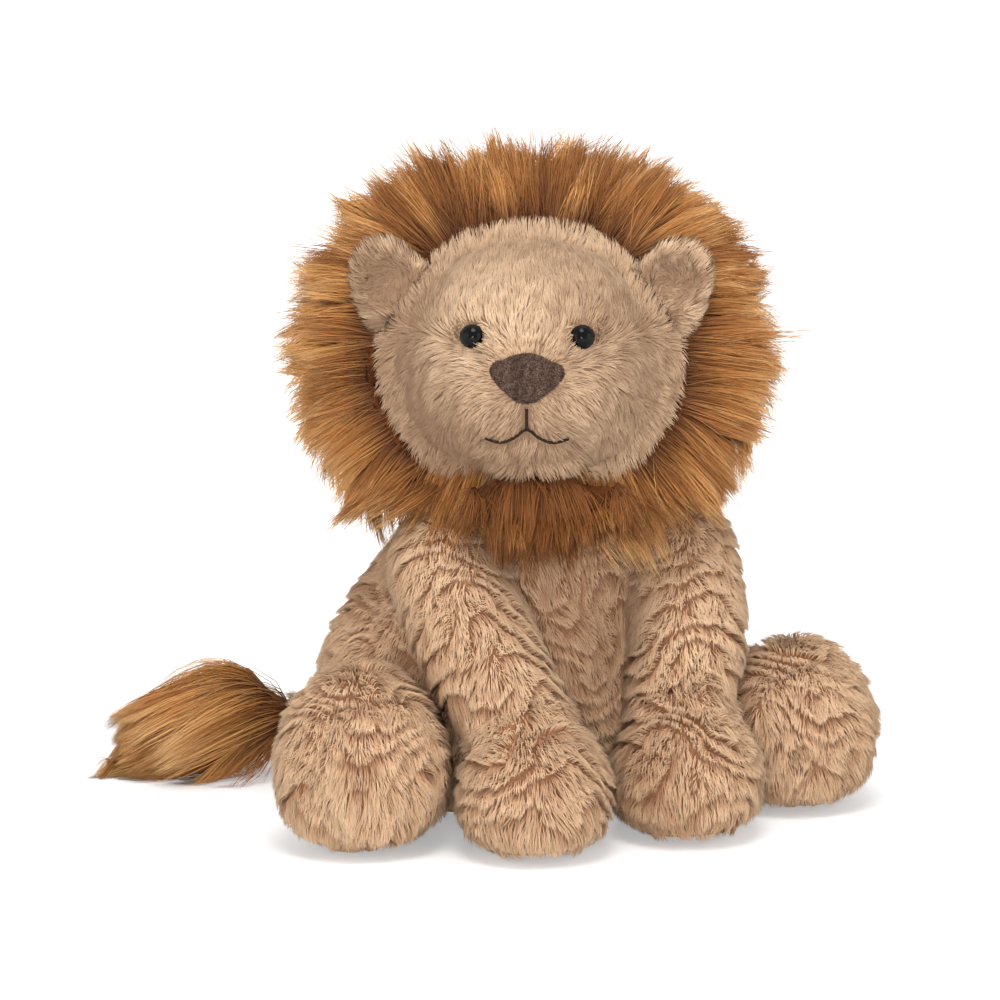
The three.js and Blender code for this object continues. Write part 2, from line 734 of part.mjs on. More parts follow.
const maneForm = cut(
  rounded(maneReach, maneAngles.slice(1, -1), maneLocks * 3).rotateX(-maneTilt),
  swollen(headForm, sewnGap),
  seenFrom(headBody, collarRoom()),
  ...sides.map((side) => seenFrom(headBody, shoulderRoom(side))),
  ...earRooms,
  neckSeat,
);
const inFront = new THREE.BoxGeometry(4 * overrun, 4 * overrun, 4 * overrun);
const ruffBlock = inFront.clone().translate(0, maneSplit - sewnGap / 2 - 2 * overrun, 0);
const hoodBlock = inFront.clone().translate(0, maneSplit + sewnGap / 2 + 2 * overrun, 0);
const ruff = place("mane_ruff", common(maneForm, ruffBlock), longPile(), headBody);
place("mane_hood", common(maneForm, hoodBlock), longPile(), headBody);

// Bib: the locks that hang from under the chin between the shoulders
function makeBib() {
  const middle = neckRadius / 4;
  const form = stuffed({
    spine: [
      vec(middle, -bibForward, -bibTopDrop),
      vec(middle, -bibForward - bibHalfDepth / 2, -(bibTopDrop + bibBottomDrop) / 2),
      vec(middle, -bibForward, -bibBottomDrop),
    ],
    across: alongX,
    halfWidth: bibHalfWidth,
    halfDepth: bibHalfDepth,
    startRound: bibHalfDepth,
    endRound: bibHalfDepth,
    widthShares: [1, 1, 0.9, 0.7],
    depthShares: [1, 0.9, 0.7, 0.5],
    rings: 4,
    spokes: 8 * bibLocks,
    locks: 2 * bibLocks,
    lockDepth: bibLockDepth,
  });
  const rooms = sides.map((side) => seenFrom(headBody, shoulderRoom(side)));
  return cut(form, swollen(headForm, sewnGap), neighbour(ruff, headBody, sewnGap), ...rooms);
}
place("mane_bib", makeBib(), longPile(), headBody);

// A paw or foot that stands on the floor: widest low down, and closed over a round top. The shape
// holds its half width and depth, how far its ends are rounded, and its width shares.
function makePaw({ x, y, height, lean, leanAside = 0, ...shape }) {
  const form = stuffed({
    spine: [vec(x, y, -floorFlat), vec(x + leanAside, y + lean, height)],
    across: alongX,
    startFullness: 2.6,
    rings: 3,
    spokes: 18,
    ...shape,
  });
  return cut(form, belowFloor(0));
}

// A paw and the oval sole panel set into its skin. The block stands through the skin where the panel
// lies, and inward is the way from the skin to the stuffing.
function withSole(form, block, seatBlock, inward) {
  const moved = (depth) => form.clone().translate(...inward.clone().multiplyScalar(depth).toArray());
  const sole = cut(common(form, block), moved(soleThickness));
  const paw = cut(form, cut(seatBlock, moved(soleThickness + sewnGap)));
  return { paw, sole };
}

// Foreleg: its round top turns in the shoulder, and it runs down and in to the back of the paw.
function makeForeleg({ sign, shoulderX, forepawY: y }) {
  const shoulder = vec(sign * shoulderX, shoulderY, shoulderZ);
  const ankle = vec(sign * ankleX, y + ankleBehindPaw, ankleZ);
  const ahead = ankle.clone().sub(shoulder).normalize();
  return stuffed({
    spine: [
      shoulder.clone().addScaledVector(ahead, -forelegRadius),
      shoulder,
      shoulder.clone().lerp(ankle, kneeShare).add(vec(sign, -1, 0).multiplyScalar(kneeBow * kneeAsideShare)),
      ankle,
      vec(sign * forepawX, y, forepawHeight / 2),
    ],
    across: alongX,
    halfWidth: forelegRadius,
    halfDepth: forelegRadius,
    startRound: forelegRadius,
    endRound: forelegRadius,
    widthShares: forelegShares,
    rings: 5,
    spokes: 14,
  });
}

// Thigh: comes out of the hip and runs forward to the back of the foot.
function makeThigh(sign, y) {
  return stuffed({
    spine: [
      vec(sign * hipX, hipY, hipZ),
      vec((sign * (hipX + hindfootX)) / 2, (hipY + y) / 2, hipZ),
      vec(sign * hindfootX, y, hipZ),
    ],
    across: alongZ,
    halfWidth: thighRadius,
    halfDepth: thighRadius,
    startRound: thighRound,
    endRound: thighRound,
    widthShares: [1, 1, 1],
    rings: 2,
    spokes: 14,
  });
}

// Forelegs swing forward at the shoulders; hind legs splay outwards about the crease beside the hip
for (const side of sides) {
  const { name, sign, shoulderX, forepawY, hindfootY, hindfootHeight } = side;
  const foreBody = new THREE.Group();
  foreBody.position.set(sign * shoulderX, shoulderY, shoulderZ);
  const hindBody = new THREE.Group();
  hindBody.position.set(sign * hindCreaseX, hindCreaseY, hipZ);
  torsoBody.add(foreBody, hindBody);
  const body = neighbour(torso, torsoBody, sewnGap);

  const pawForm = makePaw({
    x: sign * forepawX,
    y: forepawY,
    height: forepawHeight,
    lean: forepawLean,
    halfWidth: forepawHalfWidth,
    halfDepth: forepawHalfDepth,
    startRound: forepawRound,
    endRound: forepawTopRound,
    widthShares: forepawShares,
  });
  const underBlock = (grown) =>
    ovalPanel(
      forepawHalfWidth * soleShare + grown,
      forepawHalfDepth * soleShare + grown,
      overrun,
      soleEdgeRound,
    ).translate(sign * forepawX, forepawY, forepawHeight / 3 - overrun);
  const fore = withSole(pawForm, underBlock(0), underBlock(sewnGap), vec(0, 0, 1));
  const legForm = makeForeleg(side);
  const foreRooms = swept(body, foreBody.position, alongX, foreSwing);
  const foreleg = cut(legForm, ...foreRooms, swollen(pawForm, sewnGap));
  place(`foreleg_${name}`, seenFrom(foreBody, foreleg), plush(), foreBody);
  place(`forepaw_${name}`, seenFrom(foreBody, cut(fore.paw, body)), plush(), foreBody);
  place(`forepaw_sole_${name}`, seenFrom(foreBody, fore.sole), plush(), foreBody);

  const footForm = makePaw({
    x: sign * hindfootX,
    y: hindfootY,
    height: hindfootHeight,
    lean: hindfootLean,
    leanAside: sign * hindfootLeanAside,
    halfWidth: hindfootHalfWidth,
    halfDepth: hindfootHalfDepth,
    startRound: hindfootRound,
    endRound: hindfootTopRound,
    widthShares: hindfootShares,
  });
  const faceBlock = (grown) => {
    const halfHeight = (hindfootHeight / 2) * hindSoleShare + grown;
    return ovalPanel(hindfootHalfWidth * hindSoleShare + grown, halfHeight, overrun, soleEdgeRound)
      .rotateX(quarterTurn)
      .translate(sign * hindfootX, hindfootY, hindfootHeight * hindSoleRiseShare);
  };
  const hind = withSole(footForm, faceBlock(0), faceBlock(sewnGap), vec(0, 1, 0));
  const bodyRooms = swept(swollen(torsoForm, sewnGap), hindBody.position, alongZ, -sign * hindSplay);
  const thigh = cut(
    makeThigh(sign, hindfootY),
    ...bodyRooms,
    swollen(footForm, sewnGap),
    swollen(legForm, turningGap),
  );
  place(`hindleg_${name}`, seenFrom(hindBody, thigh), plush(), hindBody);
  const hindfoot = cut(hind.paw, ...bodyRooms, swollen(legForm, turningGap));
  place(`hindfoot_${name}`, seenFrom(hindBody, hindfoot), plush(), hindBody);
  place(`hindfoot_sole_${name}`, seenFrom(hindBody, hind.sole), plush(), hindBody);
}

// Tail: the stalk turns in its seat in the back and curls round to the right; the tuft closes over its end
const tailBody = new THREE.Group();
tailBody.position.set(tailX, tailY, tailZ);
torsoBody.add(tailBody);

function makeTuft() {
  const spine = tuftReachShares.map((share, place) =>
    vec(
      -tuftStart - tuftLength * share,
      tailBack + tuftBack * tuftBackShares[place],
      tuftRise * tuftRiseShares[place] - tuftDroop * tuftDroopShares[place],
    ),
  );
  return stuffed({
    spine,
    across: vec(0, 1, 0),
    halfWidth: tuftHalfWidth,
    halfDepth: tuftHalfThickness,
    startRound: tailRadius,
    endRound: tailRadius / 2,
    widthShares: tuftShares,
    rings: 9,
    spokes: 4 * tuftLocks,
    locks: tuftLocks,
    lockDepth: tuftLockDepth,
  });
}

function makeStalk() {
  return stuffed({
    spine: [
      vec(tailRadius * stalkStartShare, -tailRadius * stalkInsetShare, 0),
      vec(-tailReach * stalkReachShares[0], tailBack * stalkBackShare, 0),
      vec(-tailReach * stalkReachShares[1], tailBack, tuftRise * stalkRiseShares[0]),
      vec(-tailReach - tailRadius, tailBack, tuftRise * stalkRiseShares[1]),
    ],
    across: alongZ,
    halfWidth: tailRadius,
    halfDepth: tailRadius,
    startRound: tailRadius,
    endRound: tailRadius,
    widthShares: [1, 1, 0.96, 0.94],
    rings: 5,
    spokes: 12,
  });
}

const tuft = place("tail_tuft", makeTuft(), longPile(), tailBody);
const tailRooms = swept(neighbour(torso, tailBody, turningGap), vec(0, 0, 0), alongZ, tailSwing);
const stalk = cut(makeStalk(), ...tailRooms, neighbour(tuft, tailBody, sewnGap));
place("tail_stalk", stalk, plush(), tailBody);

export default lion;
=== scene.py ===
"""The plush lion: padded skins in the frame's solids, each with its pile of fibres, and the face's small parts."""

import json
import math

import bpy
import numpy as np
from mathutils import Matrix, Vector
from mathutils.bvhtree import BVHTree
from mathutils.kdtree import KDTree


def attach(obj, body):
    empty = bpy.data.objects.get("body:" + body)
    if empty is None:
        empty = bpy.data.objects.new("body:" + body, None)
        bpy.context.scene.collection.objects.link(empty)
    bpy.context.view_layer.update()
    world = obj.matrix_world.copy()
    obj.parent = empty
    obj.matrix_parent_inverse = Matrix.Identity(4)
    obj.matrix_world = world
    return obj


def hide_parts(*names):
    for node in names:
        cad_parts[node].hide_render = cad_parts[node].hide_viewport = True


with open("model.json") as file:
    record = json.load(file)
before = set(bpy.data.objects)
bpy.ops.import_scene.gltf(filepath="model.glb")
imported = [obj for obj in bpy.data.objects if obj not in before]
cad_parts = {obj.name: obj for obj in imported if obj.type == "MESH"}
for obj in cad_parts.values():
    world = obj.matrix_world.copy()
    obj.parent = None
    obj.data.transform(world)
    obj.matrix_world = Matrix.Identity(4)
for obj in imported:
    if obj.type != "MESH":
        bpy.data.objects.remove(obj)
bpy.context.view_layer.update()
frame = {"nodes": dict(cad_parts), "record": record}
MM = 0.001
rng = np.random.default_rng(7)

# Camera: the photograph's direction, distance and scale
AZIMUTH, ELEVATION = math.radians(-20), math.radians(10)
DISTANCE, PIXEL = 1.4, 0.000335
ORIGIN_PIXEL = (536, 795)
right = Vector((math.cos(AZIMUTH), math.sin(AZIMUTH), 0))
back = Vector(
    (math.sin(AZIMUTH) * math.cos(ELEVATION), -math.cos(AZIMUTH) * math.cos(ELEVATION), math.sin(ELEVATION))
)
up = back.cross(right)
target = right * (500 - ORIGIN_PIXEL[0]) * PIXEL + up * (ORIGIN_PIXEL[1] - 500) * PIXEL
camera = bpy.data.objects.new("camera", bpy.data.cameras.new("camera"))
bpy.context.scene.collection.objects.link(camera)
camera.matrix_world = Matrix.Translation(target + back * DISTANCE) @ Matrix((right, up, back)).transposed().to_4x4()
camera.data.lens = 36 * DISTANCE / (1000 * PIXEL)
camera.data.clip_start, camera.data.clip_end = 0.05, 60
bpy.context.scene.camera = camera
bpy.context.scene.view_settings.view_transform = "Standard"


# Small helpers


def srgb(r, g, b):
    """A colour written as 0 to 255 in sRGB, as linear RGBA."""
    return tuple(c / 12.92 if c <= 0.04045 else ((c + 0.055) / 1.055) ** 2.4 for c in (r / 255, g / 255, b / 255)) + (
        1.0,
    )


def unit(v):
    return v / np.maximum(np.linalg.norm(v, axis=-1, keepdims=True), 1e-12)


def dot(a, b):
    return np.sum(a * b, axis=-1, keepdims=True)


def smooth(x, low, high):
    t = np.clip((x - low) / (high - low), 0, 1)
    return t * t * (3 - 2 * t)


def waves(p, length, seed, count=9):
    """Smooth noise about 0, from plane waves of about that length in random directions."""
    r = np.random.default_rng(seed)
    k = unit(r.normal(size=(count, 3))) * (2 * math.pi / (length * r.uniform(0.75, 1.35, (count, 1))))
    return np.sin(p @ k.T + r.uniform(0, 2 * math.pi, count)).sum(axis=1) / math.sqrt(count / 2)


def slope(p, length, seed, step):
    """The gradient of waves, times the step."""
    here = waves(p, length, seed)
    return np.stack([waves(p + step * np.eye(3)[k], length, seed) - here for k in range(3)], axis=1)


def arrays(mesh):
    """Vertices and triangles of a mesh as arrays."""
    mesh.calc_loop_triangles()
    v = np.zeros(3 * len(mesh.vertices))
    mesh.vertices.foreach_get("co", v)
    t = np.zeros(3 * len(mesh.loop_triangles), int)
    mesh.loop_triangles.foreach_get("vertices", t)
    return v.reshape(-1, 3), t.reshape(-1, 3)


def new_mesh(name, vertices, quads, tris):
    """A mesh from arrays of quads and triangles, smooth shaded."""
    mesh = bpy.data.meshes.new(name)
    mesh.vertices.add(len(vertices))
    mesh.vertices.foreach_set("co", np.asarray(vertices, np.float32).ravel())
    loops = np.concatenate([np.asarray(quads, np.int32).ravel(), np.asarray(tris, np.int32).ravel()])
    mesh.loops.add(len(loops))
    mesh.loops.foreach_set("vertex_index", loops)
    starts = np.concatenate([np.arange(len(quads)) * 4, 4 * len(quads) + np.arange(len(tris)) * 3])
    mesh.polygons.add(len(starts))
    mesh.polygons.foreach_set("loop_start", starts.astype(np.int32))
    mesh.update(calc_edges=True)
    mesh.shade_smooth()
    return mesh, loops


def reshaped(mesh, vertices):
    """The mesh with its vertices moved."""
    mesh.vertices.foreach_set("co", vertices.astype(np.float32).ravel())
    mesh.update()
    mesh.shade_smooth()
    return mesh


def add_object(name, mesh, material, body):
    piece = bpy.data.objects.new(name, mesh)
    bpy.context.scene.collection.objects.link(piece)
    mesh.materials.clear()
    mesh.materials.append(material)
    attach(piece, body)
    return piece


# Materials


class Nodes:
    """A material's node tree, with short ways to add to it."""

    def __init__(self, name):
        self.material = bpy.data.materials.new(name)
        self.material.use_nodes = True
        self.tree = self.material.node_tree
        self.shader = self.tree.nodes["Principled BSDF"]

    def add(self, kind, inputs=None, **settings):
        node = self.tree.nodes.new(kind)
        for key, value in settings.items():
            setattr(node, key, value)
        for key, value in (inputs or {}).items():
            self.put(node.inputs[key], value)
        return node

    def put(self, socket, value):
        if isinstance(value, bpy.types.NodeSocket):
            self.tree.links.new(value, socket)
        else:
            socket.default_value = value

    def attribute(self, name):
        return self.add("ShaderNodeAttribute", attribute_name=name).outputs["Fac"]

    def ramp(self, factor, *stops):
        node = self.add("ShaderNodeValToRGB", {"Fac": factor})
        elements = node.color_ramp.elements
        while len(elements) < len(stops):
            elements.new(0.5)
        for element, (place, colour) in zip(elements, stops):
            element.position = place
            element.color = colour
        return node.outputs["Color"]

    def mix(self, factor, a, b):
        node = self.add("ShaderNodeMix", data_type="RGBA")
        self.put(node.inputs["Factor"], factor)
        self.put(node.inputs[6], a)
        self.put(node.inputs[7], b)
        return node.outputs[2]

    def math(self, operation, a, b):
        node = self.add("ShaderNodeMath", operation=operation)
        for socket, value in zip(node.inputs, (a, b)):
            self.put(socket, value)
        return node.outputs[0]

    def noise(self, scale, detail=3.0, roughness=0.55):
        where = self.add("ShaderNodeTexCoord").outputs["Object"]
        inputs = {"Vector": where, "Scale": scale, "Detail": detail, "Roughness": roughness}
        node = self.add("ShaderNodeTexNoise", inputs)
        return node.outputs["Fac"]

    def bump(self, height, distance, strength=1.0):
        node = self.add("ShaderNodeBump", {"Height": height, "Distance": distance, "Strength": strength})
        self.put(self.shader.inputs["Normal"], node.outputs["Normal"])

    def finish(self, colour, roughness, specular):
        self.put(self.shader.inputs["Base Color"], colour)
        self.put(self.shader.inputs["Roughness"], roughness)
        self.shader.inputs["Specular IOR Level"].default_value = specular
        return self.material


def fibre_material(name, root, dark, light, tip, roughness, specular):
    """A fibre's colour: darker at its root as painted shade between the fibres, between a deep, a shaded and a lit
    copy of its colour by a value that holds its tuft's own tone and painted light and shade, and paler at its tip as
    painted light.
    """
    n = Nodes(name)
    along, tone_and_shade = n.attribute("along"), n.attribute("tone_and_shade")
    deep = tuple((a + b) / 2 for a, b in zip(root, dark))
    # By the fibre's tone value: the deep and dark colours stand for painted shade, the light one for painted light
    shade = n.ramp(tone_and_shade, (0.0, deep), (0.2, dark), (1.0, light))
    # Painted light: the outer part of a fibre turns paler, towards the tip colour, as if lit
    painted_tip_light = n.mix(n.ramp(along, (0.55, (0, 0, 0, 1)), (1.0, (1, 1, 1, 1))), shade, n.mix(tone_and_shade, shade, tip))
    # Painted shade: the inner part of a fibre turns to the root colour, as the shadow between the fibres
    colour = n.mix(n.ramp(along, (0.0, (0, 0, 0, 1)), (0.45, (1, 1, 1, 1))), root, painted_tip_light)
    return n.finish(colour, roughness, specular)


def backing_material(name, dark, light):
    """Woven backing under the pile, seen only between fibres, and coloured dark brown as painted shade between their
    roots.
    """
    n = Nodes(name)
    colour = n.ramp(n.noise(160.0), (0.3, dark), (0.7, light))
    n.bump(n.noise(900.0, 2.0), 0.0006)
    return n.finish(colour, 0.95, 0.1)


# Each fibre's colours in order: a root that is painted shade between the fibres, a dark and a light copy of the pile's
# colour that are painted shade and painted light, and a paler tip that is painted light
short_fibre = fibre_material(
    "short_pile", srgb(162, 118, 88), srgb(188, 142, 108), srgb(238, 198, 158), srgb(245, 214, 180), 0.75, 0.2
)
face_fibre = fibre_material(
    "face_pile", srgb(150, 119, 92), srgb(176, 142, 113), srgb(236, 200, 163), srgb(242, 214, 180), 0.75, 0.2
)
long_fibre = fibre_material(
    "long_pile", srgb(92, 50, 20), srgb(176, 112, 54), srgb(250, 190, 116), srgb(253, 216, 158), 0.55, 0.3
)
felt_fibre = fibre_material(
    "felt_fibre", srgb(52, 36, 29), srgb(62, 44, 35), srgb(134, 108, 94), srgb(146, 122, 108), 0.85, 0.2
)
# Painted shade: each backing's brown stands for the shadow between the fibres, and the long pile's is darkest, as the
# shadow deep under the mane and the tuft
short_backing = backing_material("short_pile_backing", srgb(142, 98, 70), srgb(182, 136, 102))
face_backing = backing_material("face_pile_backing", srgb(150, 120, 96), srgb(182, 148, 120))
long_backing = backing_material("long_pile_backing", srgb(66, 34, 15), srgb(102, 56, 25))


def pressed_material():
    """Pile that is pressed flat where it rests on the floor."""
    n = Nodes("pressed_pile")
    patches = n.ramp(n.noise(90.0, 2.0), (0.35, srgb(150, 108, 80)), (0.65, srgb(192, 150, 116)))
    colour = n.mix(n.ramp(n.noise(700.0), (0.4, (0, 0, 0, 1)), (0.6, (1, 1, 1, 1))), srgb(134, 94, 68), patches)
    n.bump(n.noise(800.0), 0.0008)
    return n.finish(colour, 0.9, 0.2)


def cotton_material():
    n = Nodes("woven_cotton")
    where = n.add("ShaderNodeTexCoord").outputs["Object"]
    warp = n.add("ShaderNodeTexWave", {"Vector": where, "Scale": 380.0, "Distortion": 0.4}, bands_direction="X")
    weft = n.add("ShaderNodeTexWave", {"Vector": where, "Scale": 380.0, "Distortion": 0.4}, bands_direction="Y")
    weave = n.math("MULTIPLY", warp.outputs["Fac"], weft.outputs["Fac"])
    n.bump(weave, 0.0003)
    return n.finish(n.ramp(weave, (0.0, srgb(206, 196, 176)), (0.6, srgb(236, 230, 214))), 0.9, 0.2)


def felt_material():
    """Short brown felt, with its fibres and a paler wear on top."""
    n = Nodes("nose_felt")
    grain = n.noise(1900.0, 4.0, 0.75)
    patches = n.noise(260.0, 3.0)
    colour = n.ramp(grain, (0.3, srgb(46, 32, 25)), (0.5, srgb(78, 58, 47)), (0.68, srgb(122, 98, 84)))
    colour = n.mix(n.ramp(patches, (0.35, (0, 0, 0, 1)), (0.75, (0.5, 0.5, 0.5, 1))), colour, srgb(92, 70, 58))
    n.bump(grain, 0.0004)
    return n.finish(colour, 0.9, 0.2)


def thread_material():
    n = Nodes("mouth_thread")
    twist = n.noise(1800.0, 2.0)
    n.bump(twist, 0.0003)
    return n.finish(n.ramp(twist, (0.3, srgb(26, 17, 12)), (0.7, srgb(62, 44, 34))), 0.85, 0.15)


def plastic_material(name, dark, light, roughness, specular):
    n = Nodes(name)
    marks = n.noise(500.0, 2.0)
    n.bump(marks, 0.00001)
    return n.finish(n.ramp(marks, (0.3, dark), (0.7, light)), roughness, specular)


pressed, cotton, felt, thread = pressed_material(), cotton_material(), felt_material(), thread_material()
gloss = plastic_material("black_gloss", srgb(4, 4, 4), srgb(7, 6, 6), 0.05, 0.14)
white = plastic_material("white_plastic", srgb(222, 219, 212), srgb(236, 233, 226), 0.45, 0.5)

# The frame's solids, as arrays and search trees
body_of_node = {}
for body_name, members in frame["record"]["behaviour"]["bodies"].items():
    for node_name in members:
        body_of_node[node_name] = body_name


class Shape:
    """A mesh as arrays, with a search tree."""

    def __init__(self, mesh, free=None):
        self.mesh, self.free = mesh, free
        self.v, self.t = arrays(mesh)
        self.n = vertex_normals(self.v, self.t)
        self.tree = BVHTree.FromPolygons(self.v.tolist(), self.t.tolist())
        self.low, self.high = self.v.min(axis=0), self.v.max(axis=0)


def vertex_normals(v, t):
    normals = np.zeros_like(v)
    crossed = np.cross(v[t[:, 1]] - v[t[:, 0]], v[t[:, 2]] - v[t[:, 0]])
    for k in range(3):
        np.add.at(normals, t[:, k], crossed)
    return unit(normals)


solids = {name: Shape(node.data) for name, node in frame["nodes"].items()}
# Pile grows this far in from a seam, and a surface lower than this rests on the floor
RIM, ON_FLOOR = 0.0055, 0.0008
# Too small, or too far inside, to part the pile
SMALL = {"eye_right", "eye_left", "eye_washer_right", "eye_washer_left", "bean_pouch", "mouth_embroidery"}


def encloses(shape, point):
    """Whether a ray from the point leaves the shape an odd number of times."""
    way, start, crossings = Vector((0.137, 0.281, 0.95)).normalized(), Vector(point), 0
    while crossings < 12:
        place = shape.tree.ray_cast(start, way)[0]
        if place is None:
            break
        crossings += 1
        start = place + way * 1e-5
    return crossings % 2 == 1


def depth_in(points, shapes, room=0.004):
    """How deep each point lies inside any of the shapes, or minus its distance from them."""
    depth = np.full(len(points), -room)
    for shape in shapes:
        near = np.all((points > shape.low - room) & (points < shape.high + room), axis=1).nonzero()[0]
        for i in near:
            place, normal, _, far = shape.tree.find_nearest(points[i], 0.05)
            if place is not None:
                inside = (Vector(points[i]) - place).dot(normal) < 0 and encloses(shape, points[i])
                depth[i] = max(depth[i], far if inside else -far)
    return depth


def remeshed(name, voxel, rounds):
    """A node's solid with an even mesh, smoothed."""
    shape = bpy.data.objects.new("shape", frame["nodes"][name].data.copy())
    bpy.context.scene.collection.objects.link(shape)
    remesh = shape.modifiers.new("remesh", "REMESH")
    remesh.mode, remesh.voxel_size = "VOXEL", voxel
    soften = shape.modifiers.new("soften", "SMOOTH")
    soften.factor, soften.iterations = 0.5, rounds
    made = bpy.data.meshes.new_from_object(shape.evaluated_get(bpy.context.evaluated_depsgraph_get()))
    bpy.data.objects.remove(shape)
    return made


skins = {}


def skin(name, inset, voxel=0.002, rounds=8, shift=(0, 0, 0), relief=None):
    """A node's surface drawn in under its pile, except where it is sewn to a neighbour or rests on the floor.
    Its pile grows on what is free of those and on the rim beside it."""
    mesh = remeshed(name, voxel, rounds)
    v, t = arrays(mesh)
    n = vertex_normals(v, t)
    others = [solids[o] for o in solids if o != name and o not in SMALL]
    held = (depth_in(v + n * 0.0006, others, 0.003) > -0.0009) | (v[:, 2] < ON_FLOOR)
    free = ~held
    drawn = inset - (relief(v) if relief is not None else 0) + np.zeros(len(v))
    moved = v - n * drawn[:, None]
    if free.any() and held.any():
        tree = KDTree(int(free.sum()))
        for i in free.nonzero()[0]:
            tree.insert(v[i], int(i))
        tree.balance()
        for i in held.nonzero()[0]:
            _, j, far = tree.find(v[i])
            step = -n[j] * max(0.0, drawn[j] - far)
            if v[i][2] < ON_FLOOR:
                step[2] = 0
            moved[i] = v[i] + step - n[i] * 0.0002
            free[i] = far < RIM
    moved[:, 2] = np.maximum(moved[:, 2], 0.00025)
    moved += np.array(shift)
    skins[name] = Shape(reshaped(mesh, moved), free)


# Fibres
MOST_FACES = 190000  # in one piece
NO_LIMIT = 1.0


def scattered(name, per_mm2):
    """Random places on the free part of a skin, with their normals, but for those inside a neighbour."""
    shape = skins[name]
    v, n, t = shape.v, shape.n, shape.t
    t = t[shape.free[t].sum(axis=1) >= 2]
    area = np.linalg.norm(np.cross(v[t[:, 1]] - v[t[:, 0]], v[t[:, 2]] - v[t[:, 0]]), axis=1) / 2
    count = int(area.sum() * 1e6 * per_mm2 * (1))
    face = rng.choice(len(t), count, p=area / area.sum())
    a, b = rng.random((2, count))
    over = a + b > 1
    a[over], b[over] = 1 - a[over], 1 - b[over]
    shares = np.stack([1 - a - b, a, b], axis=1)[:, :, None]
    p, n = (v[t[face]] * shares).sum(axis=1), unit((n[t[face]] * shares).sum(axis=1))
    others = [skins[o] for o in skins if o != name and o not in SMALL]
    keep = (depth_in(p + n * 0.0008, others, 0.0012) < 0) & ~((n[:, 2] < -0.8) & (p[:, 2] < 0.006))
    return p[keep], n[keep]


def add_fibres(name, lines, widths, tone_and_shade, out, soft, material, body, nodes):
    """Closed three-sided fibres along the given lines (fibre, point, xyz), tapering to a tip, as pieces of one body.
    A fibre's width is that of its root, and its tone value its place between the shaded and the lit copy of its
    colour, which carries painted light and shade as well as the pile's own tone. It is shaded softly, as part of the
    pile, by leaning its normals towards the skin's, out."""
    count, points, _ = lines.shape
    rings = points - 1
    along = np.linspace(0, 1, points)
    ahead = unit(np.gradient(lines, axis=1))
    aside = unit(np.cross(ahead[:, 0], rng.normal(size=(count, 3))))[:, None, :]
    deep = unit(np.cross(ahead, aside))
    aside = np.cross(deep, ahead)
    taper = 1 - 0.8 * along[:rings] ** 1.4
    radius = (widths[:, None] / 2 * taper)[:, :, None, None]
    turn = np.arange(3) * 2 * math.pi / 3
    spoke = aside[:, :rings, None] * np.cos(turn)[:, None] + deep[:, :rings, None] * np.sin(turn)[:, None]
    ring = lines[:, :rings, None] + radius * spoke
    vertices = np.concatenate([ring.reshape(count, rings * 3, 3), lines[:, -1:, :]], axis=1)
    vertices[:, :, 2] = np.maximum(vertices[:, :, 2], 0.0002)
    normals = np.concatenate([spoke.reshape(count, rings * 3, 3), ahead[:, -1:, :]], axis=1)
    normals = unit((1 - soft) * normals + soft * out[:, None])
    per = rings * 3 + 1
    j = np.arange(3)
    after = (j + 1) % 3
    quad = np.concatenate(
        [np.stack([3 * k + j, 3 * k + after, 3 * k + 3 + after, 3 * k + 3 + j], axis=1) for k in range(rings - 1)]
    )
    last = 3 * (rings - 1)
    tri = np.concatenate([np.stack([last + j, last + after, np.full(3, per - 1)], axis=1), [[2, 1, 0]]])
    # Fibres that lie near each other go into the same piece
    groups = max(1, math.ceil(count * (2 * len(quad) + len(tri)) / MOST_FACES))
    middle = lines[:, 0].mean(axis=0)
    order = np.argsort(np.arctan2(lines[:, 0, 1] - middle[1], lines[:, 0, 0] - middle[0]))
    for g, chosen in enumerate(np.array_split(order, groups)):
        base = (np.arange(len(chosen)) * per)[:, None, None]
        label = f"{name}_{g + 1}" if groups > 1 else name
        mesh, loops = new_mesh(
            label, vertices[chosen].reshape(-1, 3), (base + quad).reshape(-1, 4), (base + tri).reshape(-1, 3)
        )
        share = np.tile(np.append(np.repeat(along[:rings], 3), 1.0), len(chosen)).astype(np.float32)
        shade = np.repeat(tone_and_shade[chosen], per).astype(np.float32)
        for title, values in (("along", share), ("tone_and_shade", shade)):
            mesh.attributes.new(title, "FLOAT", "POINT").data.foreach_set("value", values)
        leaning = mesh.attributes.new("custom_normal", "FLOAT_VECTOR", "POINT")
        leaning.data.foreach_set("vector", normals[chosen].astype(np.float32).ravel())
        offset = np.tile(np.append(np.tile(j - 1, rings), 0), len(chosen)) * 0.004
        across = np.clip(0.02 + 0.96 * shade + offset, 0, 1)
        bake_map = mesh.uv_layers.new(name="OFBake")
        bake_map.data.foreach_set("uv", np.stack([across[loops], share[loops]], axis=1).astype(np.float32).ravel())
        piece = add_object(label, mesh, material, body)
        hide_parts(*nodes)


def long_lines(p, start, bend, length, points=6, drop=0.002):
    """Hairs that leave p along start, and bend towards bend over their length."""
    t = np.linspace(0, 1, points)[None, :, None]
    lines = p[:, None] + length[:, None, None] * (start[:, None] * t + (bend - start)[:, None] * t**2 / 2)
    lines[:, :, 2] -= drop * (t[:, :, 0] ** 2)
    return lines


def lock_tones(base, lock, lock_share, tuft, tuft_share, seed):
    """Each hair's tone: the base, and chance shares for its lock and its tuft."""
    tones = np.random.default_rng(seed).normal(size=100000)
    return base + lock_share * tones[lock] + tuft_share * tones[tuft + 5000]


def long_pile(name, node, lines, widths, tone_and_shade, out):
    """Long hair over a node's skin."""
    tone_and_shade = np.clip(tone_and_shade, 0, 1)
    add_fibres(name, lines, widths, tone_and_shade, out, 0.35, long_fibre, body_of_node[node], [node])


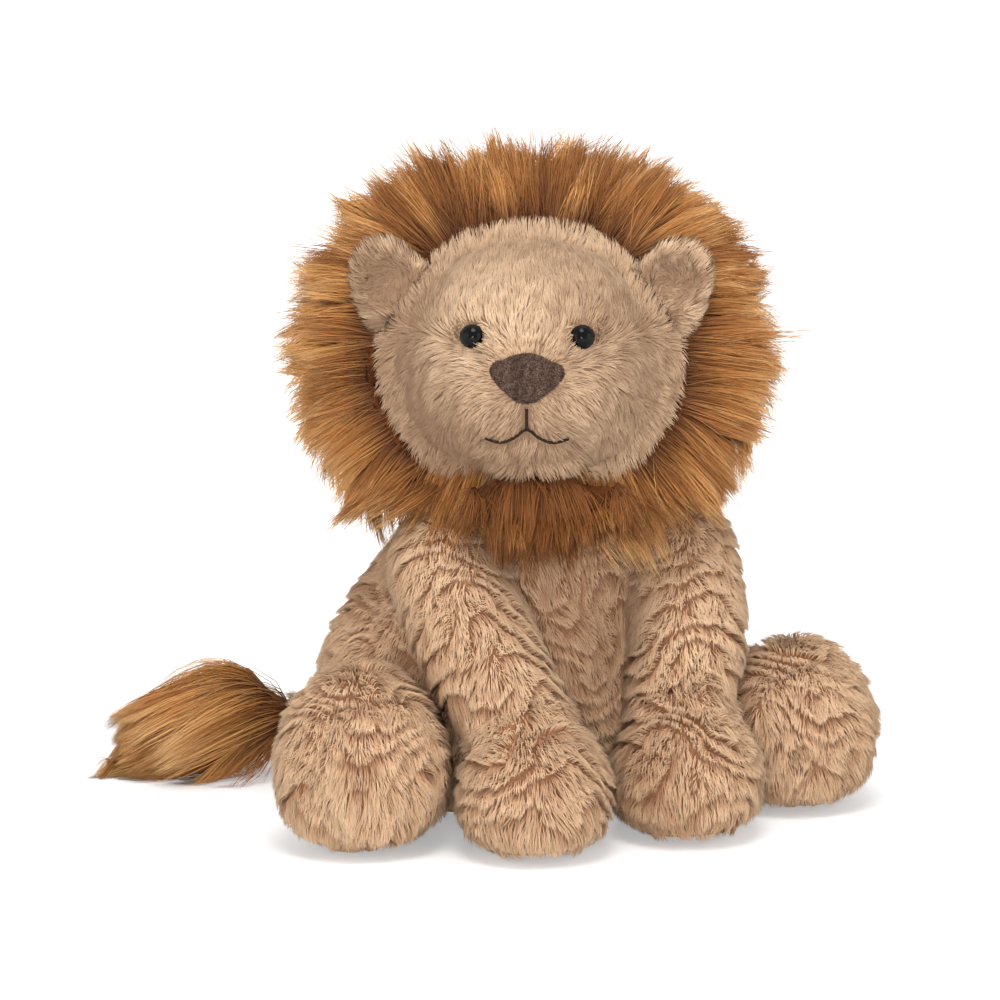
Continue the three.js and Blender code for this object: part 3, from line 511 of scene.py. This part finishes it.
def gathered(lines, spacing, strength, seed):
    """Draws each hair's outer part towards the nearest of some guides, into locks."""
    count = len(lines)
    r = np.random.default_rng(seed)
    halfway = lines[:, lines.shape[1] // 2]
    guides = r.permutation(count)[: max(2, int(count * spacing))]
    tree = KDTree(len(guides))
    for i, g in enumerate(guides):
        tree.insert(halfway[g], i)
    tree.balance()
    nearest = np.array([tree.find(h)[1] for h in halfway])
    guide = lines[guides[nearest]]
    t = np.linspace(0, 1, lines.shape[1])[None, :, None]
    pull = strength * t**1.4 * r.uniform(0.5, 1.0, (count, 1, 1))
    return lines + (guide - lines) * pull, nearest


PITCH = 0.0098  # from one row of tufts to the next


def short_pile(name, flow, look=None, density=2.3, height=0.0028, reach=0.0056, soft=0.78, fibre=short_fibre):
    """Short pile that lies along flow(p, n) in wavy rows of tufts. look(p) gives height, painted light and shade, and
    row shares, and the most that a fibre may run."""
    p, n = scattered(name, density)
    tall, lit, rows, most = (np.full(len(p), x) for x in (1.0, 0.0, 1.0, NO_LIMIT)) if look is None else look(p)
    tall = tall * (0.55 + 0.45 * smooth(p[:, 2], 0.001, 0.012))
    rows = rows * (0.95 - 0.6 * smooth(p[:, 2], 0.07, 0.11))
    keep = tall > 0.02
    p, n, tall, lit, rows, most = (a[keep] for a in (p, n, tall, lit, rows, most))
    f, travelled = flow(p, n)
    f = unit(f - n * dot(f, n))
    # Rows of tufts: each row's crest hangs over the roots of the next
    wobble = 0.60 * waves(p, 0.036, 11) + 0.26 * waves(p, 0.016, 12) + 0.10 * waves(p, 0.007, 13)
    crest = (travelled / PITCH + wobble) % 1.0
    lean = slope(p, 0.012, 14, 0.001)
    swing = slope(p, 0.030, 15, 0.001)
    aim = unit(f + 0.55 * lean + 0.8 * swing + 0.10 * rng.normal(size=p.shape))
    aim = unit(aim - n * dot(aim, n))
    left = (1.06 - crest) * PITCH
    full = reach * (0.35 + 0.65 * tall) * rng.uniform(0.85, 1.2, len(p))
    run = np.minimum(full + rows * (np.minimum(full, np.maximum(left, 0.0012)) - full), most)
    ending = np.clip(crest + run / PITCH, 0, 1.06)
    h = height * tall * (1 + rows * (1.15 * ending - 0.62)) * rng.uniform(0.88, 1.1, len(p))
    # The rows' own slope turns the shading: up the row, and over at its edge
    facing = unit(n + f * (rows * (0.9 * smooth(crest, 0.72, 1.0) - 0.26))[:, None])
    start = p - n * 0.0004
    middle = p + n * (0.72 * h)[:, None] + aim * (0.36 * run)[:, None]
    end = p + n * h[:, None] + aim * run[:, None] + rng.normal(size=p.shape) * 0.0002
    lines = np.stack([start, middle, end], axis=1)
    lines, _ = gathered(lines, 0.07, 0.3, 18)
    lines[:, 2, 2] = np.maximum(lines[:, 2, 2], 0.0003 + 0.0008 * rng.random(len(p)))
    # Painted light and shade: the look's lit, each row paler towards its crest as painted light and darker at its
    # start as painted shade under the row above; the waves and chance below are the pile's own tone
    tone_and_shade = 0.67 + lit + rows * (0.42 * (crest - 0.5) - 0.2 * (1 - smooth(crest, 0.0, 0.22)))
    tone_and_shade += 0.09 * waves(p, 0.05, 16) + 0.07 * waves(p, 0.006, 17) + 0.10 * rng.normal(size=len(p))
    tone_and_shade = np.clip(tone_and_shade, 0, 1)
    widths = rng.uniform(0.00034, 0.00048, len(p))
    add_fibres(f"{name}_pile", lines, widths, tone_and_shade, facing, soft, fibre, body_of_node[name], [name])


def away_from(pole, drag=(0, 0, 0)):
    """Pile that lies away from a pole, pulled by drag."""
    pole, drag = np.array(pole) * MM, np.array(drag, float)

    def flow(p, n):
        apart = p - pole
        return unit(apart) + drag, np.linalg.norm(apart, axis=1)

    return flow


# Where the head is, and how it is turned in the frame
HEAD_TURN = math.radians(-22.5)
head_middle = np.array([-9.74, -21.86, 154.0]) * MM
head_axes = np.array(
    [[math.cos(HEAD_TURN), math.sin(HEAD_TURN), 0], [-math.sin(HEAD_TURN), math.cos(HEAD_TURN), 0], [0, 0, 1]]
)


def to_head(p):
    return (p - head_middle) @ head_axes.T


def from_head(v):
    return v @ head_axes


# On the face, in mm from the head's middle
EYES = [(-17.2, 9.8), (17.2, 9.8)]
EAR_ASIDE, EAR_HIGH = 45.3, 22.5


def outer(x, z):
    """How far out a place on the face lies: 0 at its middle and 1 at its rim."""
    return np.hypot(x / 46.5, z / 41)


def bell(x, z, at_x, at_z, spread_x, spread_z):
    return np.exp(-((x - at_x) ** 2) / (2 * spread_x**2) - (z - at_z) ** 2 / (2 * spread_z**2))


def seam_of_mouth(x, z):
    """How far a place on the face lies from the mouth's line and the philtrum, in mm."""
    share = np.clip(np.abs(x) / 13, 0, 1)
    drop = -18.6 - 4.2 * np.interp(share, (0, 0.3, 0.6, 0.84, 1), (0, 0.66, 1, 0.88, 0.7))
    mouth = np.where(np.abs(x) < 13.5, np.abs(z - drop), 9)
    philtrum = np.where((z < -9) & (z > -19), np.abs(x), 9)
    return np.minimum(mouth, philtrum)


def face_relief(v):
    """The face's soft forms: lobes beside the philtrum, a chin, brows, and hollows for the eyes and the mouth."""
    q = to_head(v) / MM
    x, z = q[:, 0], q[:, 2]
    front = 1 - smooth(q[:, 1], -30, -12)
    shape = 2.3 * (bell(x, z, -9.5, -13.5, 6.5, 5.5) + bell(x, z, 9.5, -13.5, 6.5, 5.5))
    shape += 1.5 * bell(x, z, 0, -29, 9, 5)
    shape += 0.9 * (bell(x, z, -15, 19, 8, 4.5) + bell(x, z, 15, 19, 8, 4.5))
    for ex, ez in EYES:
        inward, outward = math.copysign(4.3, -ex), math.copysign(4.6, ex)
        shape -= 0.6 * bell(x, z, ex, ez, 5, 4.5)
        shape += 2.8 * bell(x, z, ex + inward, ez - 1.6, 1.6, 3.0) + 1.6 * bell(x, z, ex + outward, ez + 1.2, 1.5, 2.8)
    shape -= 1.2 * (bell(x, z, -27, -16, 3, 13) + bell(x, z, 27, -16, 3, 13))
    shape -= 0.3 * (1 - smooth(seam_of_mouth(x, z), 0.2, 3.0))
    rim = outer(x, z)
    shape -= 2.2 * smooth(np.abs(x), 28, 42)
    return (shape * front - 2.9 * smooth(rim, 0.5, 0.95) - 0.6 * smooth(z, 22, 38)) * MM


def lids(far, aside):
    """How much the pile at a place beside an eye, in mm from its middle, closes over it."""
    return smooth(aside / np.maximum(far, 0.1), 0.62, 0.9) * (1 - smooth(far, 5.2, 6.6))


def head_flow(p, n):
    """From the bridge of the nose: up the forehead, out over the cheeks, and down from the muzzle."""
    q = to_head(p)
    bridge = np.array([0, -44, -3]) * MM
    apart = q - bridge
    f = unit(apart)
    above = smooth(q[:, 2:], 0.006, 0.015)
    straight = np.stack([9 * q[:, 0], np.zeros(len(q)), np.full(len(q), 1.0)], axis=1)
    f = f * (1 - above) + straight * above
    cheek = smooth(np.abs(q[:, 0]), 0.012, 0.034) * (1 - smooth(q[:, 2], -0.004, 0.014))
    f[:, 2] -= 1.4 * cheek
    behind = smooth(q[:, 1], -0.01, 0.02)
    f[:, 2] -= 0.8 * behind
    for x, z in EYES:
        eye = np.stack([q[:, 0] - x * MM, np.zeros(len(q)), q[:, 2] - z * MM], axis=1)
        far = np.linalg.norm(eye, axis=1)
        near = 1 - smooth(far, 0.004, 0.008)
        beside = lids(far / MM, np.abs(eye[:, 0]) / MM)
        f = f * (1 - beside)[:, None] + unit(eye) * (0.35 * near * (1 - beside) - 1.2 * beside)[:, None]
    return from_head(f), np.linalg.norm(apart, axis=1)


def head_look(p):
    """Shorter and smoother on the forehead and muzzle, and shortest round the eyes, nose and mouth."""
    q = to_head(p) / MM
    x, z = q[:, 0], q[:, 2]
    front = 1 - smooth(q[:, 1], -25, 0)
    forehead = smooth(z, 8, 20) * (1 - smooth(np.abs(x), 20, 36)) * front
    muzzle = bell(x, z, 0, -12, 15, 11) * front
    tall = 1 - 0.15 * forehead - 0.3 * muzzle - 0.12 * smooth(outer(x, z), 0.75, 1.0)
    tall *= 0.75 + 0.25 * smooth(np.hypot(x, z - 2), 16, 30)
    tall *= 1 - 0.3 * smooth(np.abs(x), 30, 42) * front + 0.35 * smooth(-z, 33, 38) * (np.abs(x) < 14)
    most = np.full(len(p), NO_LIMIT)
    for ex, ez in EYES:
        far = np.hypot(x - ex, z - ez)
        inner = smooth(-(x - ex) * math.copysign(1, ex), 0, 2.5) * (1 - smooth(far, 5.5, 8))
        beside = lids(far, np.abs(x - ex)) * (front > 0.5)
        tall = tall * (0.75 + 0.25 * smooth(far, 4, 8) + 0.5 * inner)
        tall = np.where((far < 3.6) & (front > 0.5), 0.0, tall + beside * (1.0 - tall))
        most = np.where(beside > 0.3, np.maximum(far - 3.1, 0.6) * MM, most)
    tall *= 0.45 + 0.55 * smooth(-depth_in(p, [skins["nose"]], 0.006) / MM, 0.4, 5.5)
    seam = seam_of_mouth(x, z)
    tall = np.where(front > 0.5, tall * (0.5 + 0.5 * smooth(seam, 0.3, 2.6)), tall)
    # Painted light and shade in lit: the muzzle darker as painted shade under the nose, the forehead a little darker
    # as painted shade, and the lower face lighter as painted light
    lit = -0.05 * forehead - 0.39 * muzzle + 0.1 * smooth(-z, 16, 30) * front - 0.13
    # Painted shade: darker towards the face's rim, and on the lion's right cheek
    lit -= 0.24 * smooth(outer(x, z), 0.35, 0.8) * (1 - forehead) * front
    lit -= 0.12 * smooth(-x, 14, 28) * front
    # Painted shade in the mouth's crease
    lit -= 0.4 * (1 - smooth(seam, 0.0, 1.8)) * front
    rows = 1 - 0.8 * forehead - 0.8 * muzzle
    return tall, lit, rows, most


def side(name):
    return -1 if "right" in name else 1


FLOWS = {
    "torso": away_from((-4, -4, 128), (0, 0, -0.5)),
    "head": head_flow,
    "tail_stalk": away_from((0, 46, 16)),
}
for label, sign in (("right", -1), ("left", 1)):
    toe = -73 if sign < 0 else -68
    foot = -47 if sign < 0 else -42
    FLOWS[f"foreleg_{label}"] = away_from((sign * 39, -20, 118), (0, 0, -0.3))
    FLOWS[f"forepaw_{label}"] = away_from((sign * 29, toe + 16, 52), (0, 0, -0.35))
    FLOWS[f"hindleg_{label}"] = away_from((sign * 60, 4, 46), (0, 0, -0.3))
    FLOWS[f"hindfoot_{label}"] = away_from((sign * 73, foot + 12, 72), (0, 0, -0.4))
    FLOWS[f"hindfoot_sole_{label}"] = away_from((sign * 73, foot + 12, 76), (0, 0, -0.4))
    FLOWS[f"ear_{label}"] = None


def ear_flow(name):
    """From the ear's foot out to its rim, and round in a swirl in the hollow."""
    sign = side(name)
    foot = np.array([sign * 38.0, -12, 12]) * MM
    middle = np.array([sign * EAR_ASIDE, -18, EAR_HIGH]) * MM

    def flow(p, n):
        q = to_head(p)
        f = unit(q - foot)
        apart = q - middle
        hollow = 1 - smooth(np.linalg.norm(apart, axis=1), 0.006, 0.011)
        swirl = np.stack([-apart[:, 2], np.zeros(len(q)), apart[:, 0]], axis=1)
        f = f + unit(swirl) * (1.5 * hollow)[:, None]
        return from_head(f), np.linalg.norm(q - foot, axis=1)

    return flow


def ear_relief(name):
    """The hollow in front of the ear."""
    middle = np.array([side(name) * EAR_ASIDE, -19, EAR_HIGH]) * MM

    def relief(v):
        return -0.0024 * np.exp(-(np.linalg.norm(to_head(v) - middle, axis=1) ** 2) / (2 * 0.0042**2))

    return relief


def ear_look(name):
    sign = side(name)
    # Both ears darker than the face, and the lion's right one more, as painted shade on that side
    shade = -0.40 if sign < 0 else -0.30
    middle = np.array([sign * EAR_ASIDE, -18, EAR_HIGH]) * MM

    def look(p):
        apart = np.linalg.norm(to_head(p) - middle, axis=1)
        hollow = 1 - smooth(apart, 0.006, 0.012)
        # Painted shade in the ear's hollow; the waves are the pile's own tone
        lit = shade - 0.45 * hollow + 0.2 * (1 - hollow) * waves(p, 0.005, 19)
        return 0.85 - 0.35 * hollow, lit, np.full(len(p), 0.25), np.full(len(p), NO_LIMIT)

    return look


def padded_skin(name, material):
    piece = add_object(f"{name}_skin", skins[name].mesh, material, body_of_node[name])
    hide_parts(name)


LONG = ("mane_ruff", "mane_hood", "mane_bib", "tail_tuft")
for name in FLOWS:
    if name.startswith("hindfoot_sole"):
        skin(name, 0.0006, 0.001, 4, shift=(0, 0.0016, 0))
        skins[name].free |= skins[name].n[:, 1] < -0.4
    elif name.startswith("ear"):
        skin(name, 0.0029, 0.0012, 4, relief=ear_relief(name))
    elif name == "head":
        skin(name, 0.0023, 0.0014, 6, relief=face_relief)
    else:
        skin(name, 0.0033)
    padded_skin(name, face_backing if name.startswith(("head", "ear")) else short_backing)
for name in LONG:
    skin(name, 0.0045, 0.0022)
    padded_skin(name, long_backing)

# Panels that rest on the floor, the neck inside the collar and the bean pouch
for name, slot in (
    ("seat_panel", "plush"),
    ("forepaw_sole_right", "sole_plush"),
    ("forepaw_sole_left", "sole_plush"),
    ("neck", "plush"),
    ("bean_pouch", "pouch_cotton"),
):
    mesh = remeshed(name, 0.0009 if name != "neck" else 0.0015, 3)
    v, t = arrays(mesh)
    v = v - vertex_normals(v, t) * 0.0002
    v[:, 2] = np.maximum(v[:, 2], 0.0002)
    skins[name] = Shape(reshaped(mesh, v))
    padded_skin(name, cotton if name == "bean_pouch" else pressed)


def full_nose():
    """The nose with fuller sides, in a finer mesh."""
    mesh = remeshed("nose", 0.0004, 5)
    v, _ = arrays(mesh)
    q = to_head(v)
    low = np.exp(-((q[:, 2] + 0.0045) ** 2) / (2 * 0.0034**2))
    q[:, 0] *= 1.04 + 0.08 * low
    return Shape(reshaped(mesh, from_head(q) + head_middle), np.full(len(v), True))


skins["nose"] = full_nose()

for name, flow in FLOWS.items():
    if name.startswith("ear"):
        short_pile(name, ear_flow(name), ear_look(name), 4.0, 0.0024, 0.0044, 0.85, face_fibre)
    elif name == "head":
        short_pile(name, flow, head_look, 3.4, 0.0027, 0.0048, 0.86, face_fibre)
    else:
        short_pile(name, flow)

# Long pile: the mane and the tail's tuft
MANE_TILT = math.radians(18)
MANE_WIDTHS = (0.00024, 0.00038)
tilt = np.array(
    [[1, 0, 0], [0, math.cos(MANE_TILT), -math.sin(MANE_TILT)], [0, math.sin(MANE_TILT), math.cos(MANE_TILT)]]
)


def mane_outline(angle):
    high = np.sin(angle) > 0
    tall, power = np.where(high, 69, 76) * MM, np.where(high, 2.35, 2.12)
    return (np.abs(np.cos(angle) / (77.5 * MM)) ** power + np.abs(np.sin(angle) / tall) ** power) ** (-1 / power)


def mane(name, density):
    """Long hair that grows out of the seam round the face: outwards in the ruff, back and down over the hood."""
    p, n = scattered(name, density)
    q = to_head(p) @ tilt.T
    m = unit(to_head(p + n) - to_head(p)) @ tilt.T
    radius = np.hypot(q[:, 0], q[:, 2])
    # The mane's underside, which faces the shoulders and the neck, has no hair of its own
    inward = -(m[:, 0] * q[:, 0] + m[:, 2] * q[:, 2]) / np.maximum(radius, 1e-6)
    keep = ~((inward > 0.35) & (q[:, 1] > -0.02)) & ~((m[:, 2] < -0.45) & (q[:, 1] > 0.0))
    p, n, q, m, radius = (a[keep] for a in (p, n, q, m, radius))
    edge = mane_outline(np.arctan2(q[:, 2], q[:, 0]))
    outward = np.stack([q[:, 0] / radius, np.zeros(len(q)), q[:, 2] / radius], axis=1)
    behind = smooth(q[:, 1], 0.004, 0.04)[:, None]
    flow = outward + behind * np.array([0, 0.75, -0.9]) + 0.045 * rng.normal(size=p.shape)
    flow += 0.9 * slope(p, 0.034, 21, 0.001) + 0.35 * slope(p, 0.013, 23, 0.001)
    flow = unit(flow - m * dot(flow, m) * (0.85 + 0.15 * behind))
    lift = 0.30 - 0.12 * behind
    start = unit(flow + m * lift)
    bend = unit(flow - m * (0.10 + 0.45 * behind) + 0.10 * (1 - behind) * outward)
    # In the ruff each hair ends near the outline, with wisps that pass it
    wisps = 0.5 + 0.5 * waves(p, 0.016, 22)
    edge_share = 0.955 - 0.03 * smooth(q[:, 0], 0.03, 0.07) - 0.04 * smooth(-q[:, 2], 0.02, 0.06)
    tips = edge * (edge_share + 0.08 * np.clip(wisps, 0, 1.4)) + 0.017 * rng.random(len(p)) ** 3
    front = np.clip(tips - radius, 0.013, 0.048) * rng.uniform(0.62, 1.1, len(p))
    if name == "mane_bib":
        front *= 0.68
    rear = rng.uniform(0.024, 0.036, len(p))
    length = front * (1 - behind[:, 0]) + rear * behind[:, 0]
    length *= 1 - 0.55 * smooth(-q[:, 2], 0.036, 0.048) * smooth(q[:, 1], -0.002, 0.006)
    lines = long_lines(p, from_head(start @ tilt), from_head(bend @ tilt), length)
    lines, lock = gathered(lines, 0.007, 0.45, 31)
    lines, tuft = gathered(lines, 0.08, 0.6, 32)
    lines[:, 1:] += np.cumsum(rng.normal(size=lines[:, 1:].shape), axis=1) * 0.00008
    tone_and_shade = lock_tones(0.55, lock, 0.17, tuft, 0.15, 33) + 0.10 * rng.normal(size=len(p))
    # Painted shade: darker on the ruff's top against the strong top light, near the face where the hair is short of
    # the outline, and over the whole bib under the chin
    tone_and_shade -= 0.14 * smooth(q[:, 2], 0.02, 0.06) * (1 - behind[:, 0])
    tone_and_shade -= 0.36 * (1 - smooth(radius / edge, 0.60, 0.84)) * (1 - behind[:, 0])
    tone_and_shade -= 0.6 * (name == "mane_bib")
    long_pile(f"{name}_hair", name, lines, rng.uniform(*MANE_WIDTHS, len(p)), tone_and_shade, n)


mane("mane_ruff", 1.85)
mane("mane_hood", 0.7)
mane("mane_bib", 2.9)


def beside_chin():
    """Hair of the mane that springs from the seam beside the chin and falls over the jaw's edge."""
    p, n = scattered("head", 5.5)
    q = to_head(p) / MM
    aside = np.abs(q[:, 0]) + rng.normal(size=len(p))
    low = np.where(aside > 13, -33.0, -37.5) + 1.2 * rng.normal(size=len(p))
    keep = (q[:, 1] < 0) & (aside < 40) & (q[:, 2] < low)
    p, n, q = p[keep], n[keep], q[keep]
    outward = np.stack([np.sign(q[:, 0]) * 0.45, np.zeros(len(p)), np.full(len(p), -1.0)], axis=1)
    flow = unit(outward + 0.08 * rng.normal(size=p.shape) + 0.9 * slope(p, 0.03, 24, 0.001))
    normal = unit(to_head(p + n) - to_head(p))
    start = unit(flow - normal * dot(flow, normal) * 0.7 + normal * 0.75)
    # None of it stands out in front of the chin
    start[:, 1] = np.maximum(start[:, 1], -0.25)
    start = unit(start)
    length = rng.uniform(0.013, 0.021, len(p))
    lines = long_lines(p, from_head(start), from_head(unit(flow - normal * 0.1)), length)
    lines, lock = gathered(lines, 0.03, 0.2, 35)
    lines, tuft = gathered(lines, 0.1, 0.4, 36)
    # Painted shade: a low base tone, for the shadow under the chin and the jaw
    tone_and_shade = lock_tones(0.24, lock, 0.1, tuft, 0.1, 37) + 0.1 * rng.normal(size=len(p))
    long_pile("mane_bib_fringe", "mane_bib", lines, rng.uniform(*MANE_WIDTHS, len(p)), tone_and_shade, n)


beside_chin()
# How far the tuft's hair reaches at the back and to the lion's right
TUFT_BACK, TUFT_RIGHT = 0.093, -0.137


def tail_tuft():
    """Hair from the stalk's end, which arches over and runs out to pointed locks on the floor."""
    name = "tail_tuft"
    p, n = scattered(name, 1.8)
    root, tip = np.array([-62, 60, 18]) * MM, np.array([-136, 76, 1]) * MM
    share = np.clip((p - root) @ (tip - root) / ((tip - root) @ (tip - root)), 0, 1)
    ahead = unit(tip - root + np.array([0, 0, 0.006]) * (1 - 3 * share)[:, None])
    high = smooth(n[:, 2], 0.0, 0.8)[:, None]
    fan = np.clip((p[:, 2:] - 0.012) / 0.014, -0.5, 1.3)
    level = fan * smooth(share, 0.1, 0.5)[:, None]
    flow = ahead + 0.05 * rng.normal(size=p.shape) + level * np.array([-0.1, 0, 0.2])
    flow = unit(flow - n * dot(flow, n) * (0.9 - 0.5 * high * smooth(share, 0.15, 0.4)[:, None]))
    end = 1.02 - 0.17 * np.clip(p[:, 2] / 0.024, 0, 1)
    length = np.clip((end - share) * np.linalg.norm(tip - root), 0.010, 0.048) * rng.uniform(0.62, 1.12, len(p))
    fall = np.array([0, 0, -0.4]) * (0.7 + share)[:, None] * (1 - 0.6 * np.clip(level, 0, 1))
    under = smooth(-n[:, 2], -0.1, 0.5)[:, None]
    fall -= np.array([0, 0, 0.6]) * (high + 1.2 * under) * (1 - smooth(share, 0.1, 0.5))[:, None]
    puff = 0.05 + 0.75 * (1 - smooth(share, 0.0, 0.3))[:, None] * (1 - 0.7 * high)
    lines = long_lines(p, unit(flow + n * puff), unit(flow - n * (0.2 + 0.6 * puff) + fall), length)
    lines, lock = gathered(lines, 0.008, 0.6, 41)
    lines, tuft = gathered(lines, 0.06, 0.65, 42)
    lines[:, 1:] += np.cumsum(rng.normal(size=lines[:, 1:].shape), axis=1) * 0.00008
    # Hairs that stray far from the tuft are left out
    keep = (lines[:, :, 1].max(axis=1) < TUFT_BACK) & (lines[:, :, 0].min(axis=1) > TUFT_RIGHT)
    p, n, lines, lock, tuft = (a[keep] for a in (p, n, lines, lock, tuft))
    tone_and_shade = lock_tones(0.44, lock, 0.13, tuft, 0.13, 43) + 0.10 * rng.normal(size=len(p))
    long_pile(f"{name}_hair", name, lines, rng.uniform(0.00026, 0.00040, len(p)), tone_and_shade, n)


tail_tuft()


# The face's small parts


def refined(name, material, voxel, rounds, grow=0.0, sink=0.0):
    """A node's solid with a finer, softer mesh, grown a little and sunk into the face."""
    mesh = remeshed(name, voxel, rounds)
    v, t = arrays(mesh)
    v = v + vertex_normals(v, t) * grow + from_head(np.array([[0, sink, 0]]))
    piece = add_object(f"{name}_detail", reshaped(mesh, v), material, body_of_node[name])
    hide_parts(name)


nose = add_object("nose_detail", skins["nose"].mesh, felt, body_of_node["nose"])
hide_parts("nose")


def nose_fuzz():
    """The felt's own short fibres, which lie in all directions."""
    p, n = scattered("nose", 9)
    aim = rng.normal(size=p.shape)
    aim = unit(aim - n * dot(aim, n))
    lines = np.stack([p - n * 0.0001, p + n * 0.0003 + aim * 0.0005, p + n * 0.0004 + aim * 0.0012], axis=1)
    tone_and_shade = np.clip(0.42 + 0.2 * waves(p, 0.0022, 51) + 0.26 * rng.normal(size=len(p)), 0, 1)
    widths = rng.uniform(0.00018, 0.0003, len(p))
    add_fibres("nose_fuzz", lines, widths, tone_and_shade, n, 0.6, felt_fibre, body_of_node["nose"], ["nose"])


nose_fuzz()
refined("mouth_embroidery", thread, 0.00025, 2, -0.0002, 0.0009)
for label in ("right", "left"):
    refined(f"eye_{label}", gloss, 0.00018, 4)
    for slot_material in frame["nodes"][f"eye_washer_{label}"].material_slots:
        slot_material.material = white

# Floor, world and lights


def floor_and_world():
    n = Nodes("floor")
    plane = bpy.data.meshes.new("floor")
    plane.from_pydata([(-8, -8, 0), (8, -8, 0), (8, 8, 0), (-8, 8, 0)], [], [(0, 1, 2, 3)])
    floor = bpy.data.objects.new("floor", plane)
    bpy.context.scene.collection.objects.link(floor)
    plane.materials.append(n.material)
    path = n.add("ShaderNodeLightPath").outputs
    seen = n.math("MAXIMUM", path["Is Camera Ray"], path["Is Glossy Ray"])
    seen = n.math("MAXIMUM", seen, path["Is Transmission Ray"])
    n.tree.nodes.remove(n.shader)
    diffuse = n.add("ShaderNodeBsdfDiffuse", {"Color": (0.86, 0.86, 0.86, 1)})
    # The floor's own light makes up for the lamps' fall with distance
    where = n.add("ShaderNodeTexCoord").outputs["Object"]
    away = n.add("ShaderNodeVectorMath", {0: where}, operation="LENGTH").outputs["Value"]
    reach = {"Value": away, "From Min": 0.15, "From Max": 0.6, "To Min": 0.33, "To Max": 0.85}
    missing = n.add("ShaderNodeMapRange", reach)
    glow = n.add(
        "ShaderNodeEmission", {"Color": (1, 1, 1, 1), "Strength": n.math("MULTIPLY", seen, missing.outputs["Result"])}
    )
    both = n.add("ShaderNodeAddShader")
    n.tree.links.new(diffuse.outputs[0], both.inputs[0])
    n.tree.links.new(glow.outputs[0], both.inputs[1])
    n.tree.links.new(both.outputs[0], n.tree.nodes["Material Output"].inputs["Surface"])

    world = bpy.data.worlds.new("world")
    bpy.context.scene.world = world
    world.use_nodes = True
    tree = world.node_tree
    tree.nodes.clear()
    path = tree.nodes.new("ShaderNodeLightPath").outputs
    seen = path["Is Camera Ray"]
    for other in ("Is Glossy Ray", "Is Transmission Ray"):
        most = tree.nodes.new("ShaderNodeMath")
        most.operation = "MAXIMUM"
        tree.links.new(seen, most.inputs[0])
        tree.links.new(path[other], most.inputs[1])
        seen = most.outputs[0]
    strength = tree.nodes.new("ShaderNodeMapRange")
    tree.links.new(seen, strength.inputs["Value"])
    strength.inputs["To Min"].default_value = 0.52
    strength.inputs["To Max"].default_value = 1.0
    background = tree.nodes.new("ShaderNodeBackground")
    background.inputs["Color"].default_value = (1, 1, 1, 1)
    tree.links.new(strength.outputs["Result"], background.inputs["Strength"])
    tree.links.new(background.outputs[0], tree.nodes.new("ShaderNodeOutputWorld").inputs["Surface"])


def lamp(name, place, size, power):
    light = bpy.data.lights.new(name, "AREA")
    light.shape, light.size, light.energy = "DISK", size, power
    o = bpy.data.objects.new(name, light)
    bpy.context.scene.collection.objects.link(o)
    o.location = place
    o.rotation_mode = "QUATERNION"
    o.rotation_quaternion = (Vector((0, 0, 0.1)) - Vector(place)).to_track_quat("-Z", "Y")


floor_and_world()
lamp("key", back * 0.80 + up * 1.15, 0.6, 7.5)
lamp("front", back * 1.45 + up * 0.05 - right * 0.06, 0.5, 7.5)
lamp("left", right * -1.15 + back * 0.7 + Vector((0, 0, 0.3)), 1.2, 4.2)
lamp("right", right * 1.15 + back * 0.7 + Vector((0, 0, 0.3)), 1.2, 5.2)
lamp("top", right * 0.1 - back * 0.15 + Vector((0, 0, 1.5)), 0.9, 1.0)
